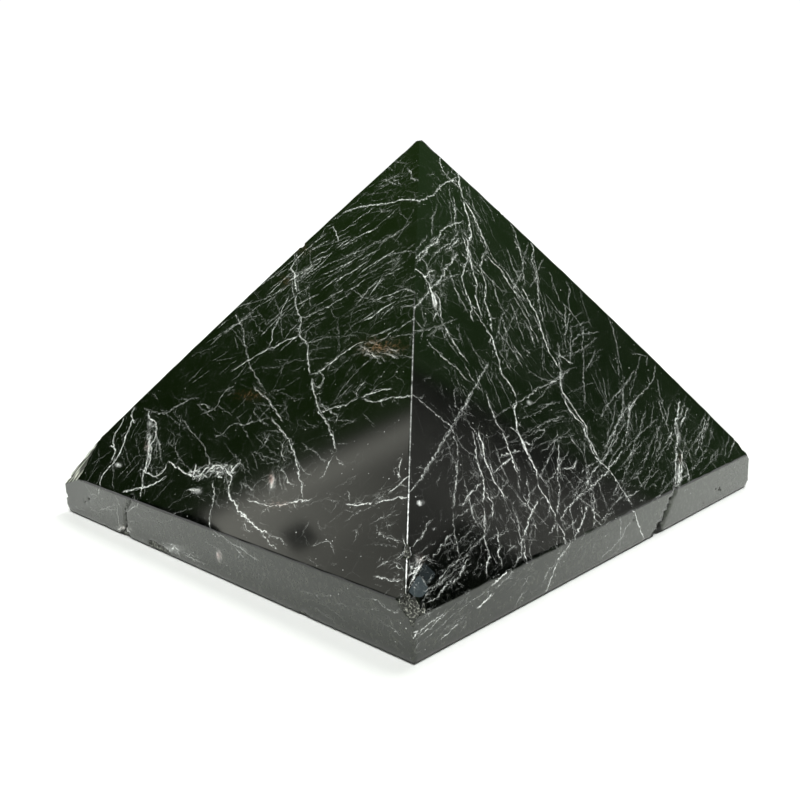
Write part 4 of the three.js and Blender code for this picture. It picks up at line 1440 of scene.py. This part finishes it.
HALO = 0.4  # distance up to which a vein clouds the stone beside it
NOISES = {  # size, detail, roughness, the part of its range that counts, what that becomes
    "waver": (0.8, 4.0, 0.65, (0.0, 1.0), (-JITTER, JITTER)),  # of a vein's line
    "strand": (1.7, 5.0, 0.6, (0.0, 1.0), (-BRAID, BRAID)),  # of the thread that winds about it
    "grains": (0.4, 3.0, 0.7, (0.38, 0.62), (0.15, 1.7)),  # crystals, which make a vein bead
    "dust": (0.5, 5.0, 0.8, (0.5, 0.68), (0.0, 1.0)),  # what the clouds are made of
    "drift": (3.0, 4.0, 0.6, (0.42, 0.66), (0.0, 1.0)),  # how it is spread
    "dapple": (5.0, 5.0, 0.6, (0.42, 0.72), (0.0, 1.0)),  # in the black body
    "scuffs": (0.6, 5.0, 0.8, (0.5, 0.72), (0.0, 1.0)),  # of the saw
}
POWDER_PATCHES = (0.7, 0.85)  # how much scuffs add to the powder and its painted sheen, and what it has without any
CELL = 3.4  # size of the cells of stone that the threads in a cloud run between
CELL_BEND = 1.6  # how far their edges are bent, in waves of CELL_WAVES
CELL_WAVES = 2.2
THREAD = 0.014  # breadth of such a thread, as a share of a cell
THREADS = (0.04, 0.24)  # their strength in clear stone and in thick haze
THICK_HAZE = 0.5
THREADS_SAWN = 0.2  # what is left of it on the sawn sides
SPECK_ROOM = 1.2  # room for each speck
SPECK = (0.08, 0.03)  # its radius and that of its solid middle, as shares of that
WHITE_DUST = 0.35  # how solid the white knots are, beside the dust in them
RIM = 0.12  # depth up to which a pale break's rim is paler
BREAK_EDGE = 0.03  # depth at which a break's finish is reached
STREAK = (0.51, 0.56)  # part of the streaks' noise over which they turn pale
CRUMB_RIM = (0.04, 0.01)  # distances from the middle of that noise between which a rim turns pale
CRUMB_LIGHT = 1.2
GRIT_SIZE = 0.25  # of the relief on the breaks
GRIT_HEIGHT = 0.15
GRIT_SAWN = 0.04  # share of that relief on the sawn sides


def vein_nodes(add, noise):
    """The veins' light and the glow beside them: over all groups, the sum of strength times how
    far the point is inside the line or the braid about it, or inside the halo."""
    veins, glow = 0.0, 0.0
    for k in range(GROUPS // 3):
        distance = add("Attribute", take="Vector", attribute_name=f"vein_distance_{k}")
        strength = add("Attribute", take="Vector", attribute_name=f"vein_strength_{k}")
        away = []
        for name in ("waver", "strand"):
            bent = add("VectorMath", {0: distance, 1: noise[name]}, operation="ADD")
            away.append(add("VectorMath", {0: bent}, operation="ABSOLUTE"))
        line = add("VectorMath", {
            0: strength, 1: (STRONG_WIDTH,) * 3, 2: (HALF_WIDTH + SOFTNESS / 2,) * 3,
        }, operation="MULTIPLY_ADD")
        line = add("VectorMath", {0: line, 1: away[0]}, operation="SUBTRACT")
        line = add("VectorMath", {0: line, 1: (SOFTNESS,) * 3}, operation="DIVIDE")
        line = add("VectorMath", {0: line, 1: (1.0,) * 3}, operation="MINIMUM")
        braid = (HALF_WIDTH + SOFTNESS,) * 3
        braid = add("VectorMath", {0: braid, 1: away[1]}, operation="SUBTRACT")
        braid = add("VectorMath", {0: braid, 1: (SOFTNESS,) * 3}, operation="DIVIDE")
        halo = add("VectorMath", {0: (HALO,) * 3, 1: away[0]}, operation="SUBTRACT")
        light = []
        for inside in (line, braid, halo):
            inside = add("VectorMath", {0: inside, 1: (0.0,) * 3}, operation="MAXIMUM")
            light.append(add("VectorMath", {
                0: inside, 1: strength,
            }, take="Value", operation="DOT_PRODUCT"))
        veins = add("Math", {0: light[0], 1: veins}, operation="ADD")
        veins = add("Math", {0: light[1], 1: BRAID_SHARE, 2: veins}, operation="MULTIPLY_ADD")
        glow = add("Math", {0: light[2], 1: glow}, operation="ADD")
    veins = add("Math", {0: veins, 1: noise["grains"]}, operation="MULTIPLY", use_clamp=True)
    return veins, glow


def cloud_nodes(add, in_mm, noise, kept, glow):
    """The milky parts: the haze and the veins' glow broken up into dust; threads at the edges
    of bent cells, where the haze lies; and specks, where the drift lets them through."""
    clouds = add("Math", {0: kept["haze"], 1: noise["drift"]}, operation="MULTIPLY")
    clouds = add("Math", {0: glow, 1: clouds}, operation="ADD")
    clouds = add("Math", {0: clouds, 1: noise["dust"]}, operation="MULTIPLY", use_clamp=True)
    bend = add("TexNoise", {
        "Vector": in_mm, "Scale": 1 / CELL_WAVES, "Detail": 6.0, "Roughness": 0.7,
    }, take="Color")
    bent = add("VectorMath", {0: bend, 1: (CELL_BEND,) * 3, 2: in_mm}, operation="MULTIPLY_ADD")
    threads = add("TexVoronoi", {"Vector": bent, "Scale": 1 / CELL}, feature="DISTANCE_TO_EDGE")
    threads = add("MapRange", {"Value": threads, "From Min": THREAD, "From Max": 0.0})
    often = add("MapRange", {
        "Value": kept["haze"], "From Max": THICK_HAZE, "To Min": THREADS[0], "To Max": THREADS[1],
    })
    lapped = add("MapRange", {"Value": kept["sawn"], "To Min": 1.0, "To Max": THREADS_SAWN})
    for share in (noise["drift"], often, lapped):
        threads = add("Math", {0: threads, 1: share}, operation="MULTIPLY")
    specks = add("TexVoronoi", {"Vector": in_mm, "Scale": 1 / SPECK_ROOM})
    specks = add("MapRange", {"Value": specks, "From Min": SPECK[0], "From Max": SPECK[1]})
    specks = add("Math", {0: specks, 1: noise["drift"]}, operation="MULTIPLY")
    return clouds, threads, specks


def painted_cleft_shine_node(add):
    """How much of the painted blue-grey shine of the two panes shows at each point: all of a pane's
    share inside it, nothing outside, and a soft edge between."""
    panes = add("Attribute", take="Vector", attribute_name="painted_cleft_shine")
    panes = add("VectorMath", {
        0: panes, 1: (1 / PANE_SOFTNESS,) * 3, 2: (0.5,) * 3,
    }, operation="MULTIPLY_ADD")
    panes = add("VectorMath", {0: panes, 1: (1.0,) * 3}, operation="MINIMUM")
    panes = add("VectorMath", {0: panes, 1: (0.0,) * 3}, operation="MAXIMUM")
    return add("VectorMath", {0: panes, 1: CLEFT_SHINE_SHARES}, take="Value", operation="DOT_PRODUCT")


def quartz_nodes(add, noise, kept):
    """How much pale quartz a break shows: streaks in the palest breaks, rims of crumbs in the
    others, and more of either at the break's own rim."""
    streak_place = add("Attribute", take="Vector", attribute_name="streak_place")
    pattern = add("TexNoise", {
        "Vector": streak_place, "Scale": 1.0, "Detail": 2.0, "Roughness": 0.5,
    })
    rims = add("Math", {0: pattern, 1: 0.5}, operation="SUBTRACT")
    rims = add("Math", {0: rims}, operation="ABSOLUTE")
    rims = add("MapRange", {
        "Value": rims, "From Min": CRUMB_RIM[0], "From Max": CRUMB_RIM[1], "To Max": CRUMB_LIGHT,
    })
    rims = add("Math", {0: rims, 1: noise["grains"]}, operation="MULTIPLY")
    streaks = add("MapRange", {"Value": pattern, "From Min": STREAK[0], "From Max": STREAK[1]})
    streaky = add("MapRange", {
        "Value": kept["pale_break"], "From Min": STREAKED[0], "From Max": STREAKED[1],
    })
    quartz = add("Mix", {0: streaky, 2: rims, 3: streaks})
    rim = add("MapRange", {"Value": kept["broken"], "From Min": RIM, "From Max": 0.0})
    paler = add("Math", {0: rim, 1: noise["grains"], 2: 1.0}, operation="MULTIPLY_ADD")
    paler = add("Math", {0: kept["pale_break"], 1: paler}, operation="MULTIPLY")
    return add("Math", {0: quartz, 1: paler}, operation="MULTIPLY", use_clamp=True)


def stone_material():
    """The stone's finish, from the attributes on the mesh and noise sized in millimetres."""
    material = bpy.data.materials.new("polished_schorl")
    add = functools.partial(add_node, empty_tree(material))
    place = add("TexCoord", take="Object")
    in_mm = add("Mapping", {"Vector": place, "Scale": (1 / MM,) * 3})
    noise = {}
    for name, (size, detail, uneven, counts, becomes) in NOISES.items():
        pattern = add("TexNoise", {
            "Vector": in_mm, "Scale": 1 / size, "Detail": detail, "Roughness": uneven,
        })
        noise[name] = add("MapRange", {
            "Value": pattern, "From Min": counts[0], "From Max": counts[1],
            "To Min": becomes[0], "To Max": becomes[1],
        })
    kept = {}
    for name in ("sawn", "haze", "powder_and_painted_sheen", *STAINS, "white", "worn", "broken", "pale_break"):
        kept[name] = add("Attribute", take="Fac", attribute_name=name)

    # The grounds of the three finishes: the lapped body, the sawn sides with their powder and
    # painted sheen, and the breaks with their quartz
    grounds = []
    for amount, (dark, light) in (
        (noise["dapple"], BODY), (noise["scuffs"], SAWN), (kept["pale_break"], BREAK),
    ):
        grounds.append(add("Mix", {
            0: amount, 6: linear(dark), 7: linear(light),
        }, take=2, data_type="RGBA"))
    colour, side, fresh = grounds
    more, least = POWDER_PATCHES
    patchy = add("Math", {0: noise["scuffs"], 1: more, 2: least}, operation="MULTIPLY_ADD")
    # powder and painted sheen pale the sides
    powder_and_painted_sheen = add("Math", {0: kept["powder_and_painted_sheen"], 1: patchy}, operation="MULTIPLY", use_clamp=True)
    side = add("Mix", {0: powder_and_painted_sheen, 6: side, 7: linear(POWDER_AND_SHEEN_COLOUR)}, take=2, data_type="RGBA")
    quartz = quartz_nodes(add, noise, kept)
    fresh = add("Mix", {0: quartz, 6: fresh, 7: linear(BREAK_PALE)}, take=2, data_type="RGBA")
    # the breaks, and the foot's dark strip, which is painted shade
    is_broken = add("MapRange", {"Value": kept["broken"], "From Min": 0.0, "From Max": BREAK_EDGE})

    # What lies in the stone, and the stains, which also tint all that is white
    veins, glow = vein_nodes(add, noise)
    clouds, threads, specks = cloud_nodes(add, in_mm, noise, kept, glow)
    tint, stains = linear(VEIN), []
    for name, stain in STAINS.items():
        tint = add("Mix", {0: kept[name], 6: tint, 7: linear(stain)}, take=2, data_type="RGBA")
        stains.append((add("Math", {
            0: kept[name], 1: noise["dust"],
        }, operation="MULTIPLY", use_clamp=True), linear(stain)))
    solid = add("Math", {0: noise["dust"], 1: WHITE_DUST}, operation="ADD")
    white = add("Math", {0: kept["white"], 1: solid}, operation="MULTIPLY", use_clamp=True)
    # the front ridge's pale line, partly a painted highlight
    worn = add("Math", {0: kept["worn"], 1: noise["grains"]}, operation="MULTIPLY", use_clamp=True)

    # Colour, from the black body outwards
    layers = [
        (kept["sawn"], side), (clouds, linear(CLOUD)), (painted_cleft_shine_node(add), linear(PAINTED_CLEFT_SHINE_COLOUR)),
        *stains, (white, tint), (specks, tint), (threads, tint), (veins, tint),
        (worn, linear(VEIN)), (is_broken, fresh),
    ]
    for amount, over in layers:
        colour = add("Mix", {0: amount, 6: colour, 7: over}, take=2, data_type="RGBA")

    # Roughness, and the relief of the grit on the breaks and, fainter, on the sawn sides
    roughness = add("Mix", {0: kept["sawn"], 2: POLISH, 3: SATIN})
    roughness = add("Mix", {0: is_broken, 2: roughness, 3: SUGARY})
    relief = add("TexNoise", {
        "Vector": in_mm, "Scale": 1 / GRIT_SIZE, "Detail": 4.0, "Roughness": 0.7,
    })
    gritty = add("Math", {0: kept["sawn"], 1: GRIT_SAWN, 2: is_broken}, operation="MULTIPLY_ADD")
    relief = add("Math", {0: relief, 1: gritty}, operation="MULTIPLY")
    bumps = add("Bump", {"Height": relief, "Distance": GRIT_HEIGHT * MM, "Strength": 0.8})
    shader = add("BsdfPrincipled", {
        "Base Color": colour, "Roughness": roughness, "IOR": SCHORL_IOR, "Normal": bumps,
    })
    add("OutputMaterial", {"Surface": shader})
    return material


stone_mesh.materials.append(stone_material())
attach(stone, "root")
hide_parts("tourmaline_pyramid")


# The table top: plain white board under and behind the stone.
FLOOR_REACH = 3.0  # metres
FLOOR_COLOUR = "#f4f4f4"
FLOOR_ROUGHNESS = 0.6

table_mesh = bpy.data.meshes.new("table_top")
floor_corners = [(x * FLOOR_REACH, y * FLOOR_REACH, 0.0) for x, y in (SW, SE, NE, NW)]
table_mesh.from_pydata(floor_corners, [], [(0, 1, 2, 3)])
table = put_in_scene("table_top", table_mesh)
board = bpy.data.materials.new("white_board")
board.use_nodes = True
board_shader = board.node_tree.nodes["Principled BSDF"]
board_shader.inputs["Base Color"].default_value = linear(FLOOR_COLOUR)
board_shader.inputs["Roughness"].default_value = FLOOR_ROUGHNESS
table_mesh.materials.append(board)


# Soft studio light: a broad lamp high in front of the stone and another high behind it, which
# keeps a soft shade at its foot; pale low walls all round; a white card behind it; and upright
# cards to the left and right of it, which only the polish shows.
LAMPS = [  # power, breadth in degrees and where from
    (3.0, 31, (0.37, -0.29, 0.88)),
    (1.2, 28, (-0.1, 0.5, 0.86)),
]
WALLS = 1.0  # light of the walls
WALLS_COLOUR = "#ffffff"
WALLS_END = (8.5, 11.0)  # degrees above the horizon between which the walls give way
CEILING = 0.12  # light of all that is above them
CEILING_COLOUR = "#dcffcc"
CARDS = [  # azimuths from north over east, elevations, distance in metres, light at the four
    # corners (first end low and high, second end high and low), colour, seen by the camera or not
    ((-12, -78), (-1, 22), 8.0, (1.05, 1.05, 1.05, 1.05), "#ffffff", True),
    ((-70, -116.2), (12, 50), 8.0, (0.02, 0.22, 0.22, 0.02), "#b4ff7c", False),
    ((-116.4, -117.9), (24.5, 42), 8.0, (0.3, 0.15, 1.6, 1.7), "#fffff2", False),
    ((-117.9, -121), (24.5, 42), 8.0, (1.7, 1.6, 0.1, 1.5), "#fffff2", False),
    ((-121, -124.8), (24.5, 42), 8.0, (1.5, 0.1, 0.2, 1.0), "#fffff2", False),
    ((-124.8, -138), (24.5, 42), 8.0, (1.0, 0.2, 0.3, 0.5), "#fffff2", False),
    ((-116.2, -138), (12, 24.5), 8.0, (0.0, 0.0, 0.0, 0.0), "#ffffff", False),
    ((-120.6, -122.6), (28.2, 30.1), 7.5, (0.1, 0.1, 0.1, 0.1), "#ffffff", False),
    ((-12, 28.6), (10, 26), 8.0, (0.12, 0.11, 0.11, 0.12), "#bcff9c", False),
    ((-12, 28.6), (26, 50), 8.0, (0.11, 0.37, 0.37, 0.11), "#bcff9c", False),
    ((28.6, 31.2), (24, 50), 8.0, (0.03, 0.12, 0.22, 0.15), "#fffff6", False),
    ((28.6, 31.2), (12, 24), 8.0, (0.4, 0.06, 0.2, 0.5), "#fffff6", False),
    ((31.2, 36.9), (27.6, 50), 8.0, (0.2, 0.16, 0.48, 0.42), "#fffff6", False),
    ((31.2, 36.9), (12, 27.6), 8.0, (0.46, 0.3, 0.48, 0.54), "#fffff6", False),
    ((36.9, 52), (27.6, 50), 8.0, (0.34, 0.34, 0.15, 0.15), "#fffff6", False),
    ((36.9, 52), (12, 27.6), 8.0, (0.0, 0.0, 0.0, 0.0), "#ffffff", False),
]

for power, breadth, place in LAMPS:
    lamp_data = bpy.data.lights.new("lamp", "SUN")
    lamp_data.energy = power
    lamp_data.angle = math.radians(breadth)
    lamp = put_in_scene("lamp", lamp_data)
    lamp.rotation_euler = Vector(place).to_track_quat("Z", "Y").to_euler()


def card(number, azimuths, elevations, distance, light, colour, seen):
    """An upright card between two azimuths and two elevations, its light going evenly between
    its corners'."""
    bearing = np.radians(np.repeat(azimuths, 2))
    rise = np.tan(np.radians([*elevations, *elevations[::-1]]))
    mesh = bpy.data.meshes.new(f"card_{number}")
    spots = distance * np.stack([np.sin(bearing), np.cos(bearing), rise], -1)
    mesh.from_pydata(spots.tolist(), [], [(0, 1, 2, 3)])
    mesh.attributes.new("light", "FLOAT", "POINT").data.foreach_set("value", light)
    paper = bpy.data.materials.new(f"lit_card_{number}")
    tree = empty_tree(paper)
    strength = add_node(tree, "Attribute", take="Fac", attribute_name="light")
    glow = add_node(tree, "Emission", {"Color": linear(colour), "Strength": strength})
    add_node(tree, "OutputMaterial", {"Surface": glow})
    mesh.materials.append(paper)
    sheet = put_in_scene(f"card_{number}", mesh)
    sheet.visible_camera = seen


for number, spec in enumerate(CARDS, 1):
    card(number, *spec)

room = bpy.data.worlds.new("room")
tree = empty_tree(room)
towards = add_node(tree, "TexCoord", take="Generated")
up = add_node(tree, "SeparateXYZ", {0: towards}, take="Z")
walls_end = [math.sin(math.radians(angle)) for angle in WALLS_END]
above = {"Value": up, "From Min": walls_end[0], "From Max": walls_end[1]}
strength = add_node(tree, "MapRange", {**above, "To Min": WALLS, "To Max": CEILING})
hue = add_node(tree, "MapRange", above)
hue = add_node(tree, "Mix", {
    0: hue, 6: linear(WALLS_COLOUR), 7: linear(CEILING_COLOUR),
}, take=2, data_type="RGBA")
shine = add_node(tree, "Background", {"Color": hue, "Strength": strength})
add_node(tree, "OutputWorld", {"Surface": shine})
bpy.context.scene.world = room
bpy.context.scene.view_settings.view_transform = "Standard"
